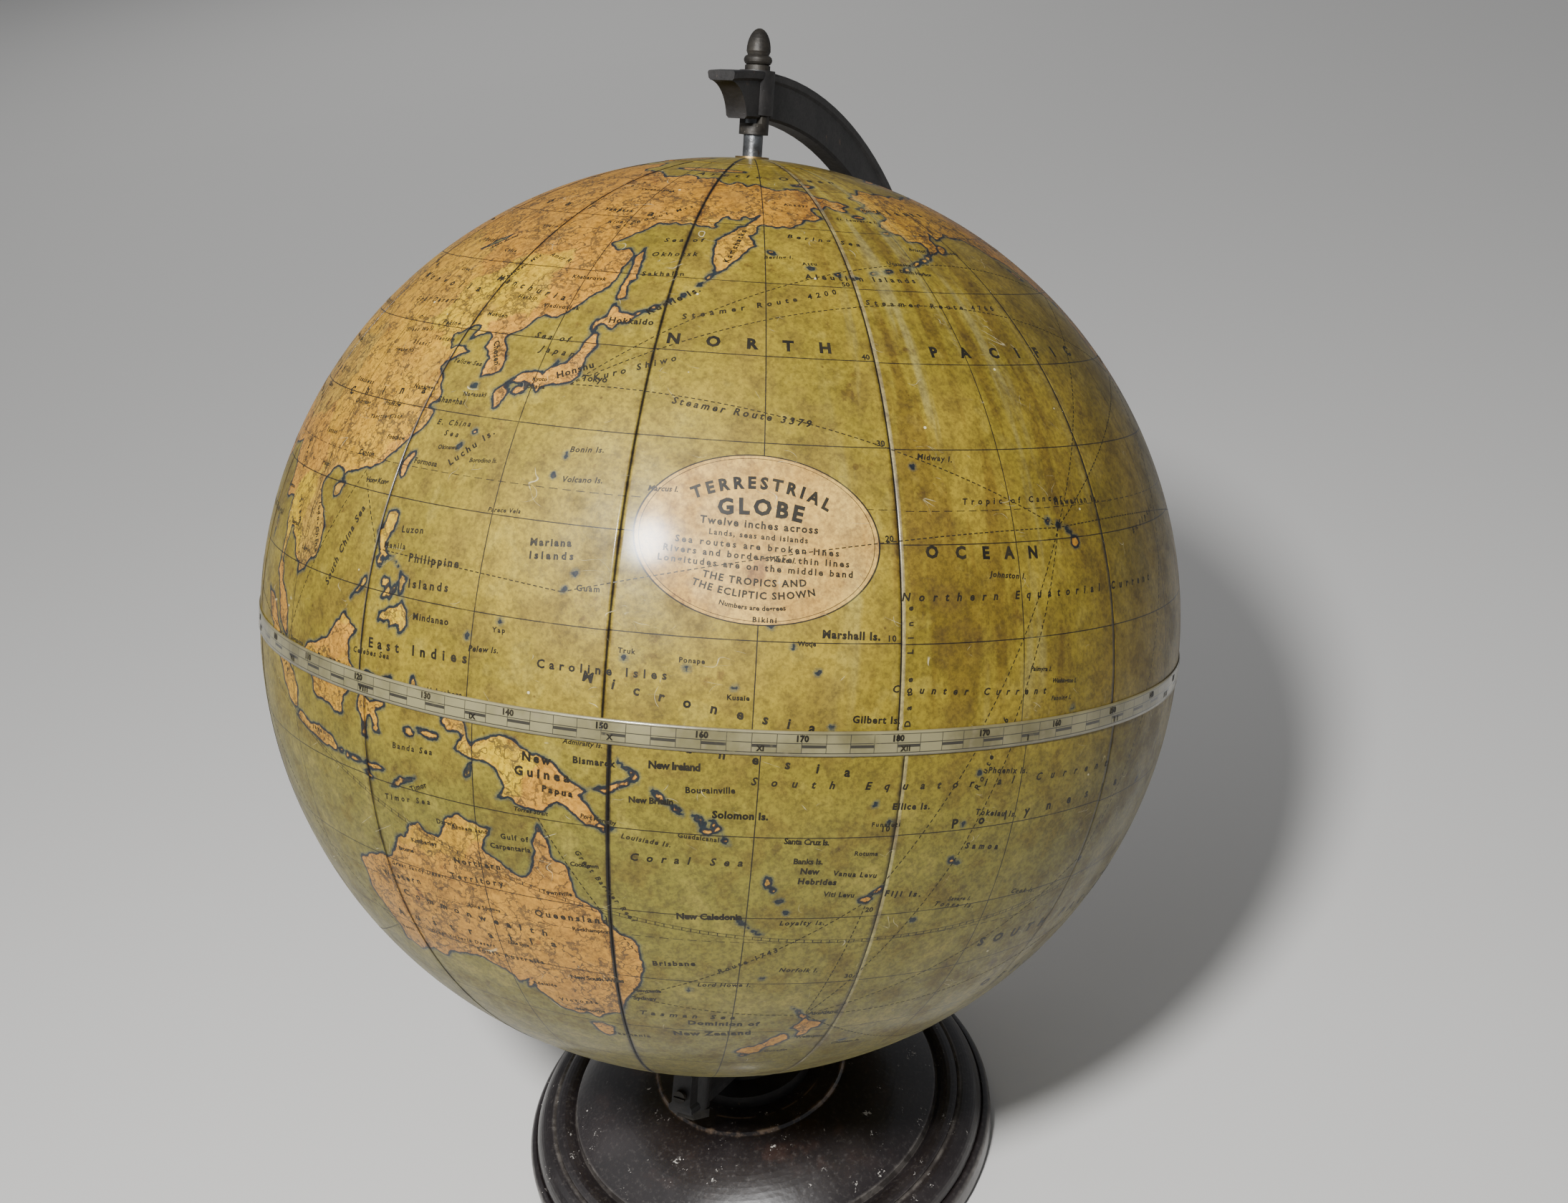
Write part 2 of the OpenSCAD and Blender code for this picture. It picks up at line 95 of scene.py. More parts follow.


# %% [markdown]
# ## Outlines of the lands
# A map is drawn from coastlines. Each outline here is written as longitude,latitude
# pairs with only the points that its shape needs, closer together round the Pacific, which
# faces the front.

# %% Coastlines
OUTLINES = {
    "eurasia": """190,66 187,65.5 188,64.4 182,65.4 177.5,64.7 179.3,62.4 174.5,61.8 170.3,60
        166,60.1 163.7,59.9 163.2,58.4 162,57.8 163.2,56.1 161.7,55 160,53.2 158.3,51.8 156.7,50.9
        155.9,52.5 155.6,54.5 155.6,56.6 157,57.8 159.8,59.6 161.9,60.4 163.7,61.5 164.5,62.5
        162.9,61.7 160.3,61.8 159.9,60.9 156.7,61.6 154.5,59.9 155,59.2 151.5,59.1 149,59.6
        145.5,59.4 142.5,59.3 140.5,57.8 137.5,55.9 135.2,54.8 137,53.9 139.8,54.2 141.3,53.2
        140.6,51 140.5,49 138.8,47 136.3,44.6 135,43.4 133,42.8 131.9,43.2 130.6,42.3 129.7,41.1
        127.6,39.8 127.5,39.2 128.4,38.5 129.4,37 129.4,35.5 128.6,35 126.6,34.4 126.4,35.6
        126.7,36.9 124.9,38 125.2,39.4 124.4,39.9 122.9,39.6 121.3,38.8 121.5,39.6 122.1,40.6
        121,40.8 119.5,39.7 117.8,39.2 118,38.3 119,37.3 120.8,37.8 122.6,37.3 120.5,36.2 119.2,35
        120.3,34.1 121.7,32 121.9,30.9 120.5,30.3 122,29.8 121.6,28.3 119.8,26.4 118.2,24.6
        116.7,23.2 114.2,22.3 113.3,22.2 111.5,21.6 110.4,21.2 110.3,20.4 109.7,21.4 108.1,21.6
        106.7,20.6 105.7,18.9 107.2,16.9 108.9,15.2 109.3,13 108.9,11.5 107,10.4 106.6,9.6 105,8.7
        104.9,10.1 103.4,10.6 102.4,12.2 100.9,12.8 100.9,13.4 100,13.4 99.8,11.5 99.3,9.3
        100.4,8.3 100.6,7.1 102.2,6.2 103.4,4.6 103.5,2.8 104.2,1.4 103.3,1.5 101.3,2.9 100.4,5.2
        99.7,6.6 98.3,8 98.6,10.2 98.6,12.5 97.7,14.8 97.6,16.6 96.2,16.4 95.3,15.8 94.3,16.1
        94.5,18 93.6,19.8 92.2,20.9 91.7,22.6 90.3,22 88.3,21.7 87,21.4 86.6,20.2 85,19.5
        82.3,16.8 80.4,15.7 80.2,13.3 79.8,10.4 79,9.3 78,8.4 77.5,8.1 76.4,9.7 74.9,12.8
        73.4,16.5 72.8,19 72.7,21 72.3,22 72.1,21.1 70.8,20.8 69.1,22.2 70,22.9 68.4,23.6 66.7,25
        61.6,25.1 58.6,25.6 57.2,26.9 54.8,26.5 50.9,29.1 49.9,30.2 48,30 48.8,27.8 50.1,26.6
        50.6,25.2 51.3,26.1 51.6,24.3 54,24.2 56.1,26.1 56.5,24.5 58.7,23.6 59.8,22.4 57.8,19.8
        55.2,17.4 52.1,15.7 48.5,14 45,12.8 43.4,12.7 42.8,16.3 40.8,19.8 39,21.6 37.2,24.7
        35.1,28 34.7,29.5 32.4,29.7 32.2,31.2 34.3,31.4 35.1,33 36.1,36.7 34,36.3 32.3,36.1
        30.6,36.8 29.3,36.3 27.5,37 26.6,38.5 26.2,39.5 27.5,40.4 29.1,41.2 31.4,41.3 33.4,42
        36.3,41.5 38.5,41 41.5,41.5 41.5,42.7 38.3,44.4 37.2,45.3 38.2,46.8 35.2,46.1 36.5,45.2
        33.6,44.5 32.6,45.5 33.5,46.1 30.8,46.5 29.7,45.2 28.6,43.8 27.7,42.5 28.1,41.6 29,41.2
        27.5,41 26.2,40.1 26,40.8 24,40.8 22.9,40.5 23.9,39 24,37.9 22.9,36.7 21.6,36.9
        21.2,38.3 19.4,40.6 19.5,42 16.4,43.5 13.7,45.7 12.3,45.3 12.5,44.2 14,42.6 16.1,41.8
        18.5,40.2 17,40.5 17.1,39 15.9,38 15.7,39.9 14,40.9 11.9,42.1 10.3,43.6 8.8,44.4 7.4,43.7
        5,43.4 3.1,43.1 3.2,41.9 0.2,40.5 -0.2,39.3 0.1,38.7 -0.7,37.7 -2.1,36.7 -5.6,36.1
        -6.5,36.9 -8.9,37 -9.4,38.8 -8.8,41.2 -9.2,43 -8,43.7 -1.6,43.4 -1.2,45.2 -2.3,47.2
        -4.6,48.2 -1.6,48.7 -1.7,49.7 0.1,49.5 1.6,50.6 3.3,51.4 4.8,53 7,53.6 8.7,53.9 8.2,55.5
        8.5,57 10.6,57.6 10.3,56.4 9.8,55 11,54.2 14,54 18.5,54.7 19.8,54.5 21.1,56 22.5,57.5
        24.3,57.2 23.6,58.9 28,59.7 30,60 25,60.2 22.9,60 21.4,61.5 21.6,63 25.2,65 24.2,65.8
        22,65.5 21.3,64 17.7,62.2 17.2,60.8 18.9,59.8 16.7,58.4 16.4,56.7 14.2,55.5 12.8,55.6
        11.3,58.8 10.5,59.4 8,58.2 5.6,58.9 5.1,61.5 10,64 13,66.2 16.5,68.5 20,69.9 25.7,71.1
        31,70.3 33,69.4 40.5,67.6 41,66.6 34,66.6 34.5,64.6 38,64.1 40,65.8 44,66.2 44.2,68.4
        47.5,67 53.5,68.3 59,68.8 65,69.2 68.5,68.5 67,70 68.5,72.8 72.8,72.8 72.8,70.8 73.7,68
        75,68.8 74,71 80.5,72 80.5,73.6 87,75 98,76.3 104.3,77.7 113,75.6 110,74 118,73.1
        123.5,73 129.5,71.2 133,71.6 139.8,72.3 150,71.5 159,70.8 160.5,69.7 167.5,69.6 170.5,69
        176,69.7 180,69 183,67.8 187.5,67.1""",
    "africa": """32.5,29.8 32.4,31.2 29,30.9 25,31.7 23,32.6 20,32.5 19.8,30.6 15.5,32.3 11,33.5
        10.3,34.3 11,37 5,36.8 0,35.9 -5.9,35.8 -6.8,34 -9.8,31.4 -13,27.8 -16,23.9 -17.1,21
        -16.2,19 -17.4,14.7 -16.8,12.5 -13.3,9 -11.4,6.8 -7.6,4.4 -4,5.2 -2,4.8 1.2,6.1 4.4,6.4
        6,4.3 8.6,4.6 9.8,3 8.8,-0.7 12,-5 13.4,-8.7 12.5,-13.4 11.8,-17 14.5,-22.6 15.2,-27
        18.3,-32.6 18.4,-34.1 20,-34.8 25.7,-34 28,-33 31,-29.9 32.7,-27 32.9,-25.7 35.5,-24
        35.4,-22 34.8,-19.9 37,-17.8 40.6,-15 40.5,-10.8 39.3,-7.7 39,-4.7 41.5,-1.8 45,2 48,4.8
        51.1,10.5 51.3,11.9 48,11.2 44.5,10.4 43.2,11.5 43.2,12.4 39.7,15.1 37.4,18.7 37,21
        35.5,23.9 33.9,27""",
    "madagascar": "49.3,-12 50.4,-15.7 47.8,-23 46.9,-25.2 44,-25 43.4,-22 44.4,-19.8 44.4,-16.2 48,-13.6",
    "north_america": """-168,65.6 -166.5,64.5 -161,64.6 -161,63.5 -164.8,62.6 -166,61.6 -162,60
        -162,58.7 -158,58.6 -157.5,57.6 -160.5,56 -163.4,54.8 -160,55.3 -156,57 -153.5,58.6
        -154,59.4 -151.5,60.9 -151.8,59.3 -149,59.9 -146,60.7 -144,60 -139.6,59.6 -136.5,58.2
        -134,56 -131,55.2 -128,52 -127.4,50.8 -124.8,49.6 -122.8,49 -122.4,47.4 -124.7,48.3
        -124,46.3 -124.4,43 -124.3,40.4 -122.5,37.7 -120.6,34.6 -118.4,33.9 -117.2,32.6
        -115.8,30.3 -114.2,28 -112.2,25.5 -110,22.9 -109.5,23.5 -111.3,26 -112.8,28.5 -114.8,31.6
        -113,31.2 -112.2,29 -109.4,26.6 -107.5,24.4 -105.7,22.5 -105.5,20.4 -101.6,17.6 -98,16
        -94.8,16.2 -91.4,14 -87.5,13 -85.7,10 -83.6,8.6 -80.3,7.4 -79.5,8.9 -77.6,7.2 -77,8.6
        -79.6,9.5 -82.2,9 -83.6,11 -83.2,15 -86,15.9 -88.5,15.9 -88.1,18 -87,21.5 -90.3,21.1
        -91,18.8 -94.2,18.2 -96,19.2 -97.8,22.3 -97.2,25.8 -97,28 -94.5,29.5 -89.2,29.1
        -89.5,30.3 -84,30.1 -82.8,28.5 -81.8,26 -80.4,25.2 -80.2,27 -81.4,30.6 -79,33.2 -76,34.8
        -75.9,37 -76.4,39 -74.2,39.6 -70.1,41.7 -70.7,43 -67,44.7 -64.7,45.6 -66,43.8 -60,46
        -65,47.5 -65,49 -68,48.8 -66.5,50.2 -60,50.2 -55.8,52 -57.5,54 -61.5,56.5 -64.7,60.3
        -66,58.8 -69.5,61 -73.7,62.4 -78,62.4 -77.5,60.5 -78.5,58.7 -76.6,57 -79,55 -79,51.5
        -80.2,51.3 -82.3,53 -82.3,55.2 -88,56.6 -92.4,57 -94.7,59 -94,61.2 -88,64.2 -86,66.3
        -81.5,67 -81.4,69.2 -88,68.4 -94,71.8 -96,68.5 -102,67.8 -108,68 -115,68 -122,69.8
        -128,70 -134.5,69.5 -141,69.6 -150,70.5 -156.5,71.3 -162.5,69.8 -166.5,68.4 -163,67""",
    "south_america": """-77.3,8.8 -75.5,10.8 -71.7,12.4 -71.3,11 -68.3,11.5 -61.8,10.7 -60,8.5 -57,6
        -51.7,4.2 -50,0 -48,-0.8 -44,-2.5 -40,-2.9 -35.2,-5.3 -34.9,-8 -37,-11.2 -39,-13.5
        -39,-17.5 -41,-22 -44.5,-23.2 -48.5,-25.8 -48.7,-28.4 -53.5,-33.8 -56,-34.9 -58.3,-34.2
        -57,-36.5 -58,-38.2 -62.2,-39 -65,-41 -64,-42.5 -67.5,-46.2 -65.8,-47.9 -69,-50.8
        -68.5,-52.4 -65.2,-54.7 -69,-55.4 -72,-54 -75.3,-51.5 -75.5,-46.8 -73,-42 -73.6,-38
        -71.5,-32.5 -70.3,-24 -70.3,-18.4 -76.2,-13.9 -79.5,-7.6 -81.3,-4.7 -80,-2.8 -80.8,-1
        -78.8,1.5 -77.3,4 -77.8,7.2""",
    "greenland": """-45,60 -42,62.5 -37.5,65.7 -32,68.1 -22,70.3 -21.5,72.5 -19,76 -13,81.5
        -25,83.2 -35,83.6 -50,82.4 -66,80.8 -72,78.2 -68,76 -59,75.8 -55.5,72 -52,69.5 -53.5,67
        -51.5,64 -48.5,61""",
    "baffin": """-66,61.9 -64.5,63.3 -61.8,66.7 -68,69.8 -76,72.8 -82,73.7 -89.5,73 -87,70.4
        -80,69.7 -73.5,68.3 -72.5,66.5 -77.5,65.3 -77,64.2 -71,62.6""",
    "victoria_land": "-105,69 -101.5,69.8 -105,72.5 -117,73 -117,70.7 -116,69.3 -109,68.7",
    "banks_land": "-125.5,72 -123,71.2 -115.5,73.4 -118,74.3 -124.5,74",
    "ellesmere": "-80,76.2 -77,77.5 -78,80 -62,82.5 -75,83.1 -91,81.5 -95,80.5 -86,79 -89,76.5",
    "newfoundland": "-55.6,51.6 -53,48.5 -53.3,46.7 -59.2,47.7 -57,50",
    "antarctica": """-186,-78 -165,-78.5 -150,-77 -135,-74.5 -115,-73.8 -100,-72 -80,-73.2 -68,-70
        -66,-66.5 -58,-63.5 -60,-66 -62,-72 -62,-76 -50,-78 -36,-78 -25,-75.5 -12,-71.5 5,-70
        25,-70 40,-69 52,-66 68,-68 75,-69.5 88,-66.5 110,-66.2 130,-66.2 145,-67 160,-69.5
        170,-71.5 165,-76 166,-78 186,-78.3 186,-90 -186,-90""",
    "honshu": """140.9,41.5 141.5,41.3 141.9,39.6 141,38.2 140.9,36 140,35.1 138.8,34.7 137,34.6
        135.9,33.5 135.1,34.3 133,34.3 131,34 132.7,35.5 135.9,35.7 137.3,37.5 137.2,36.8
        138.6,37.3 139.8,39 140,40.5""",
    "hokkaido": """140.2,41.4 141,41.8 140.4,42.4 141.7,42.6 143.2,42 143.6,42.8 145.5,43.3
        145.1,44.3 143.3,44.3 141.9,45.5 141.6,43.5 140.3,43.2 139.9,42.4""",
    "kyushu": "130.9,33.9 131.9,33 131.4,31.5 130.6,31 130.2,32 129.8,33",
    "shikoku": "132.7,33.9 134.5,34.2 134.2,33.3 133,32.8 132.2,33.4",
    "sakhalin": """142.6,54.3 143.3,52.7 143.2,51.5 143.7,49.2 142.9,48.9 143,47.2 143.5,46.4
        142.1,46 141.9,48.5 142.1,50.8 141.7,52.5""",
    "taiwan": "121.6,25.2 121.9,24.8 121.3,22.9 120.8,22 120.1,23 120.9,24.7",
    "hainan": "110.9,20 110.5,18.8 109.3,18.2 108.7,19.3 109.6,20",
    "luzon": """120.6,18.5 122.2,18.5 122.1,16.5 121.4,15.3 121.8,14 124.1,12.9 123.8,13.2
        122.5,13.6 120.7,13.8 120.2,15 119.8,16.3 120.4,16.6""",
    "samar": "124.4,12.5 125.5,12 125.2,10.2 124.8,10.1 124.6,11.4",
    "palawan": "119.5,11.3 119.7,10.6 117.3,8.4 118.5,9.9",
    "mindanao": """125.5,9.7 126.3,8.5 126.5,7.2 125.5,6 125.4,7 124,6.5 124,7.4 122.2,6.9
        122.4,7.9 123.6,8.6 124.8,8.8""",
    "borneo": """109.5,2 111.4,2.5 113,3.2 115,5 116.8,6.9 119.1,5.2 117.8,4 118,2.2 119,1
        117.6,0.5 117.5,-0.8 116.3,-1.9 116.2,-3.8 114.6,-4.1 113.4,-3.3 111.7,-3.2 110.2,-2.9
        110,-1.3 109.1,0 109,1.4""",
    "sulawesi": """120.8,1.3 123.2,0.9 125.1,1.6 124.4,0.4 121,0.4 120.1,0 120.1,-0.9 121,-1.4
        123.3,-0.9 123,-1.6 121.6,-1.9 122.2,-3.1 122.5,-4.6 121.5,-4.6 120.9,-2.8 120.4,-3
        120.4,-5.5 119.5,-5.5 119.5,-3.5 118.8,-2.7 119.7,-0.1 120,0.8""",
    "sumatra": """95.3,5.6 97.5,5.2 100.4,2.6 103.5,0 103.7,-1 106,-3.1 105.8,-5.8 104.5,-5.8
        102.2,-3.8 100.4,-1 98.7,1.7 97.1,3.2""",
    "java": """105.2,-6.8 106.1,-5.9 108.6,-6.7 110.8,-6.4 112.7,-6.9 114.5,-7.8 114.4,-8.7
        111,-8.3 108.4,-7.8""",
    "timor": "123.5,-10.3 125,-8.9 127.3,-8.4 125.2,-9.5",
    "new_guinea": """130.9,-0.9 132.5,-0.4 134,-0.8 134.2,-2.4 134.8,-3.3 136.6,-2.2 138,-1.6
        141,-2.6 144.5,-3.9 145.8,-5 147.8,-6 147,-6.8 148.5,-8.6 150.8,-10.3 149.8,-10.5
        147.2,-9.5 144.5,-7.7 143.3,-9.1 141,-9.1 139.2,-8.1 137.7,-8.4 138.8,-7.2 138,-5.7
        136,-4.6 132.9,-4 133.9,-2.4 132,-2.2 131.2,-1.6""",
    "new_britain": "152.2,-4.3 152,-5.2 150,-6.2 148.4,-5.8 150,-5.5 151.5,-4.9",
    "new_ireland": "150.8,-2.6 153,-4.1 152.9,-4.9 152,-3.7",
    "new_caledonia": "164.1,-20.1 167,-22.2 166.4,-22.3 164.1,-20.7",
    "north_island": """172.7,-34.5 174.3,-35.6 175.5,-36.6 176,-37.6 178.4,-37.7 177.9,-39.2
        177,-39.5 176.6,-40.8 175.2,-41.6 175.2,-40.2 173.8,-39.3 174.7,-38.2 174.7,-36.9""",
    "south_island": """172.7,-40.5 174.2,-41.3 174.2,-41.9 172.8,-43.3 173,-43.8 171.2,-44.4
        170.7,-45.9 169,-46.7 166.5,-46 167.8,-44.5 170.7,-43 171.5,-41.8""",
    "australia": """142.5,-10.7 143.5,-12.6 143.8,-14.4 145.3,-15 146,-17.5 146.3,-18.9 148.8,-20.3
        149.7,-22.3 150.8,-23.4 153.2,-25 153.5,-28.3 153,-31 151.5,-33.3 150.7,-35 150,-37.4
        147.5,-38 146.4,-39.1 144.8,-38.2 143.5,-38.8 140.6,-38 139.7,-36.7 138.4,-35.6
        138.2,-34.3 136.9,-35.2 137.7,-33.2 135.8,-34.8 134.2,-32.8 131.2,-31.5 129,-31.7
        126,-32.3 123.8,-33.9 120,-33.9 118,-35.1 115,-34.3 115.7,-32 114.6,-28.8 113.4,-26
        113.8,-22.6 114.2,-21.8 116.7,-20.7 119,-20 121.2,-19.5 122.2,-18.1 122.9,-16.5
        124.4,-16.3 125.2,-14.6 126.9,-13.8 128.2,-14.8 129.6,-15 130.8,-12.4 132.7,-11.3
        135.3,-12.2 136.8,-12.2 135.5,-15 137,-15.9 139.2,-17.4 140.8,-17.5 141.6,-15 141.7,-12.7""",
    "tasmania": "144.7,-40.7 148.2,-40.8 148,-42.9 146.9,-43.6 145.6,-42.8",
    "ceylon": "80,9.7 81.3,8.5 81.8,7 80.6,6 79.8,7.3",
    "britain": """-5.7,50.1 1.4,51.2 0.6,51.5 1.7,52.7 0.3,53 -1.3,54.8 -3.2,56 -2,57.5 -4,57.7
        -3.1,58.6 -5,58.6 -6.2,56.7 -5,54.7 -3.2,54.9 -2.9,53.5 -4.5,53.3 -5.2,51.8 -3,51.5""",
    "ireland": "-6.2,53.5 -6.3,52.3 -9.8,51.6 -10,54.2 -6.2,55.1 -5.6,54.5",
    "iceland": "-24,65.5 -22.6,66.4 -16,66.5 -13.7,65 -18.5,63.4 -22.6,63.9",
    "cuba": "-84.9,21.9 -82.5,23.1 -77,21.6 -74.3,20.3 -77.7,19.9 -78,20.8 -82,22.4",
    "hispaniola": "-74.4,18.4 -73.3,19.9 -69.9,19.7 -68.4,18.6 -71,17.9",
    "novaya_zemlya": "51.5,71.5 55,73 68,76.7 62,76.2 55,74.5 52,72.2",
}
print(len(OUTLINES), "outlines of lands")

# %% [markdown]
# Lakes are written in the same way. Small islands are a centre, a length, a width and a turn
# from east, all in degrees.

# %% Lakes and islets
LAKES = {
    "caspian": "47,45 51.5,47 53,45.2 50.5,44.4 53.8,42 52.8,41 53.8,39 53.8,37 50.3,37.2 49,38.5 48,42.3",
    "aral": "58.5,44 60,46.5 61.5,46 60.5,43.8",
    "baikal": "104,51.6 106.5,52.4 109.8,55.6 108.6,54.6 105.4,52.2",
    "superior": "-92,46.8 -88,48.8 -84.7,46.8 -88,46.5",
    "michigan": "-87.8,41.8 -86.3,43 -85,45.8 -87.5,44.8",
    "huron": "-83.5,44 -81.7,43.4 -80.2,44.8 -83.8,46",
    "victoria": "31.8,-0.5 34,0.2 33.6,-2.2 32,-2.3",
}
ISLETS = [  # longitude, latitude, length, width, turn from east
    (146, 44.3, 1.6, .5, 40), (148, 45.2, 1.8, .5, 40), (150.2, 46.3, .8, .4, 45),
    (152.2, 47.4, .7, .4, 50), (154.4, 49, .7, .4, 45), (155.8, 50.4, 1.1, .6, 50),
    (126.5, 33.4, .8, .5, 0), (128, 26.5, .8, .4, 50), (129.5, 28.3, .6, .4, 45),
    (121, 13, 1.3, .8, -50), (122.5, 11.1, 1.3, 1, 20), (122.9, 10, 1.7, .8, 60),
    (123.8, 10.2, 1.6, .5, 65), (118, -8.6, 2.4, .7, 0), (121, -8.6, 3.2, .7, 0),
    (120, -9.8, 1.6, .6, -20), (115.3, -8.4, .9, .6, 0), (116.4, -8.6, .8, .7, 0),
    (128, .9, 2.6, .8, 80), (129.3, -3.1, 3, .8, -5), (126.7, -3.4, 1.3, .9, 0),
    (134.4, -6.2, 1.6, .7, 75), (138.5, -8, .9, .6, 0), (155.2, -6.2, 2.2, .7, -45),
    (157, -7.4, 1.5, .5, -40), (159.2, -8.2, 1.7, .5, -40), (160.2, -9.6, 1.6, .6, -10),
    (161.1, -9, 1.5, .5, -50), (162, -10.5, 1.2, .5, -30), (166.8, -15.3, 1.3, .8, 80),
    (167.5, -16.3, .9, .5, -50), (168.4, -17.7, .7, .5, 0), (169.3, -19.2, .5, .4, 0),
    (178, -17.8, 1.4, 1, 10), (179.3, -16.6, 1.5, .6, 35), (187.6, -13.6, .8, .5, -20),
    (188.5, -14, .8, .4, -20), (184.9, -21.2, .5, .4, 0), (204.5, 19.6, 1.3, 1.2, 50),
    (203.7, 20.8, .8, .5, -30), (202, 21.5, .7, .5, -40), (200.4, 22, .6, .5, 0),
    (144.8, 13.5, .5, .4, 50), (145.7, 15.2, .45, .4, 60), (142.2, 27.1, .45, .4, 80),
    (141.3, 24.8, .45, .4, 0), (134.5, 7.5, .6, .4, 60), (138.1, 9.5, .45, .4, 0),
    (151.8, 7.4, .5, .4, 0), (158.2, 6.9, .5, .45, 0), (163, 5.3, .45, .4, 0),
    (171.3, 7.1, .5, .4, 30), (168.7, 9.5, .5, .4, 0), (166.3, 11.5, .45, .4, 0),
    (173, 1.5, .45, .4, 60), (174.6, -.7, .45, .4, 60), (179.2, -8.4, .45, .4, 60),
    (177.3, -6.3, .45, .4, 60), (188.1, -9.4, .45, .4, 0), (189.2, -3.7, .45, .4, 0),
    (182.6, 28.2, .45, .4, 0), (202.6, 1.9, .5, .45, 0), (167.9, -29, .45, .4, 0),
    (159.1, -31.5, .45, .4, 0), (183.9, -43.9, .7, .5, 0), (168, -47, .9, .7, 0),
    (185, 52.6, 1, .4, 15), (180.5, 51.7, 1, .4, 0), (188, 53, 1.2, .4, 25),
    (192.5, 53.5, 1.4, .5, 30), (195.6, 54.6, 1.8, .6, 30), (173, 52.8, .7, .4, 0),
    (177.8, 52, .6, .4, 0), (166.3, 55, 1, .4, -35), (206.5, 57.4, 1.9, 1.1, 50),
    (194, 60.1, 1.2, .7, 0), (190, 63.4, 1.6, .6, -10), (180.5, 71.2, 2.6, .9, 0),
    (143, 75.3, 8, 1.2, 0), (227.7, 53.2, 2.6, .9, -60), (234.5, 49.7, 4.2, .9, -45),
    (9, 42.1, 1.6, .8, 90), (9, 40, 2.4, 1.3, 90), (14, 37.5, 2.8, 1.2, 5), (25, 35.2, 2.4, .6, 0),
    (33.2, 35, 1.8, .7, 10), (-78, 18.1, 2, .7, 0), (-66.5, 18.2, 1.6, .6, 0),
    (-61.3, 10.4, .8, .6, 0), (-59, -51.7, 3, 1.2, 0), (-16.5, 28.3, 1, .6, 30),
    (55.5, -21.1, .6, .5, 0), (57.5, -20.3, .5, .5, 0), (69.5, -49.2, 1.6, 1, 0),
    (92.8, 12.4, 2.6, .4, 85), (54, 12.5, 1.2, .4, 0), (15, 78.5, 9, 3, 30), (-82, 75.3, 9, 2.2, 0),
    (-110, 75.6, 11, 1.6, 10), (210.5, -17.6, .5, .4, 0), (220, -9.5, .5, .4, 0),
    (-90.8, -.6, 1.2, .8, 60), (50, 80.6, 8, 1, 0), (96, 79.6, 12, 1.4, 40)]
print(len(LAKES), "lakes and", len(ISLETS), "islets")

# %% [markdown]
# A real coast is never a row of straight legs. Each leg is halved again and again and every
# new point is pushed a little sideways, and each islet is an ellipse with a wobbly edge.

# %% Roughened coasts
def rough_line(points, reach=0.7, wander=0.13):
    """A coast between given points, roughened by halving each leg until it is short."""
    done = [points[0]]
    for a, b in zip(points, points[1:] + points[:1]):
        legs = [a, b]
        while math.dist(legs[0], legs[1]) > reach:
            halved = [legs[0]]
            for p, q in zip(legs, legs[1:]):
                side = random.uniform(-wander, wander)
                middle = ((p[0] + q[0]) / 2 - side * (q[1] - p[1]),
                          (p[1] + q[1]) / 2 + side * (q[0] - p[0]))
                halved += [middle, q]
            legs = halved
        done += legs[1:]
    return np.array(done)


def read_outline(text):
    """Text pairs to a list of longitude and latitude."""
    return [tuple(float(v) for v in pair.split(",")) for pair in text.split()]


def islet(lon, lat, long, wide, turn):
    """The edge of one small island."""
    ring = np.linspace(0, 2 * math.pi, 13)
    wobble = np.array([random.uniform(0.8, 1.2) for _ in ring])
    wobble[-1] = wobble[0]
    x, y = long / 2 * np.cos(ring) * wobble, wide / 2 * np.sin(ring) * wobble
    turn = math.radians(turn)
    stretch = math.cos(math.radians(lat))
    return np.stack([lon + (x * math.cos(turn) - y * math.sin(turn)) / stretch,
                     lat + x * math.sin(turn) + y * math.cos(turn)], 1)


random.seed(12)
lands = [rough_line(read_outline(text)) for text in OUTLINES.values()]
lakes = [rough_line(read_outline(text)) for text in LAKES.values()]
lands += [islet(*values) for values in ISLETS]
print(len(lands), "lands and", len(lakes), "lakes,", sum(len(land) for land in lands), "coast points")

# %% [markdown]
# The map needs to know, at each point of the paper, how far the nearest coast is and on which
# side. Such a signed distance survives being stored on a grid of points much better than the
# line itself, because it changes evenly, and the shader can draw a fine line where it is nought.

# %% Distance to the coast
FAR = 9.0                            # distances in mm are cut off here
REACH = 4.0                          # a coast further off than this, in degrees, is left out
DEG_MM = DEGREE / MM


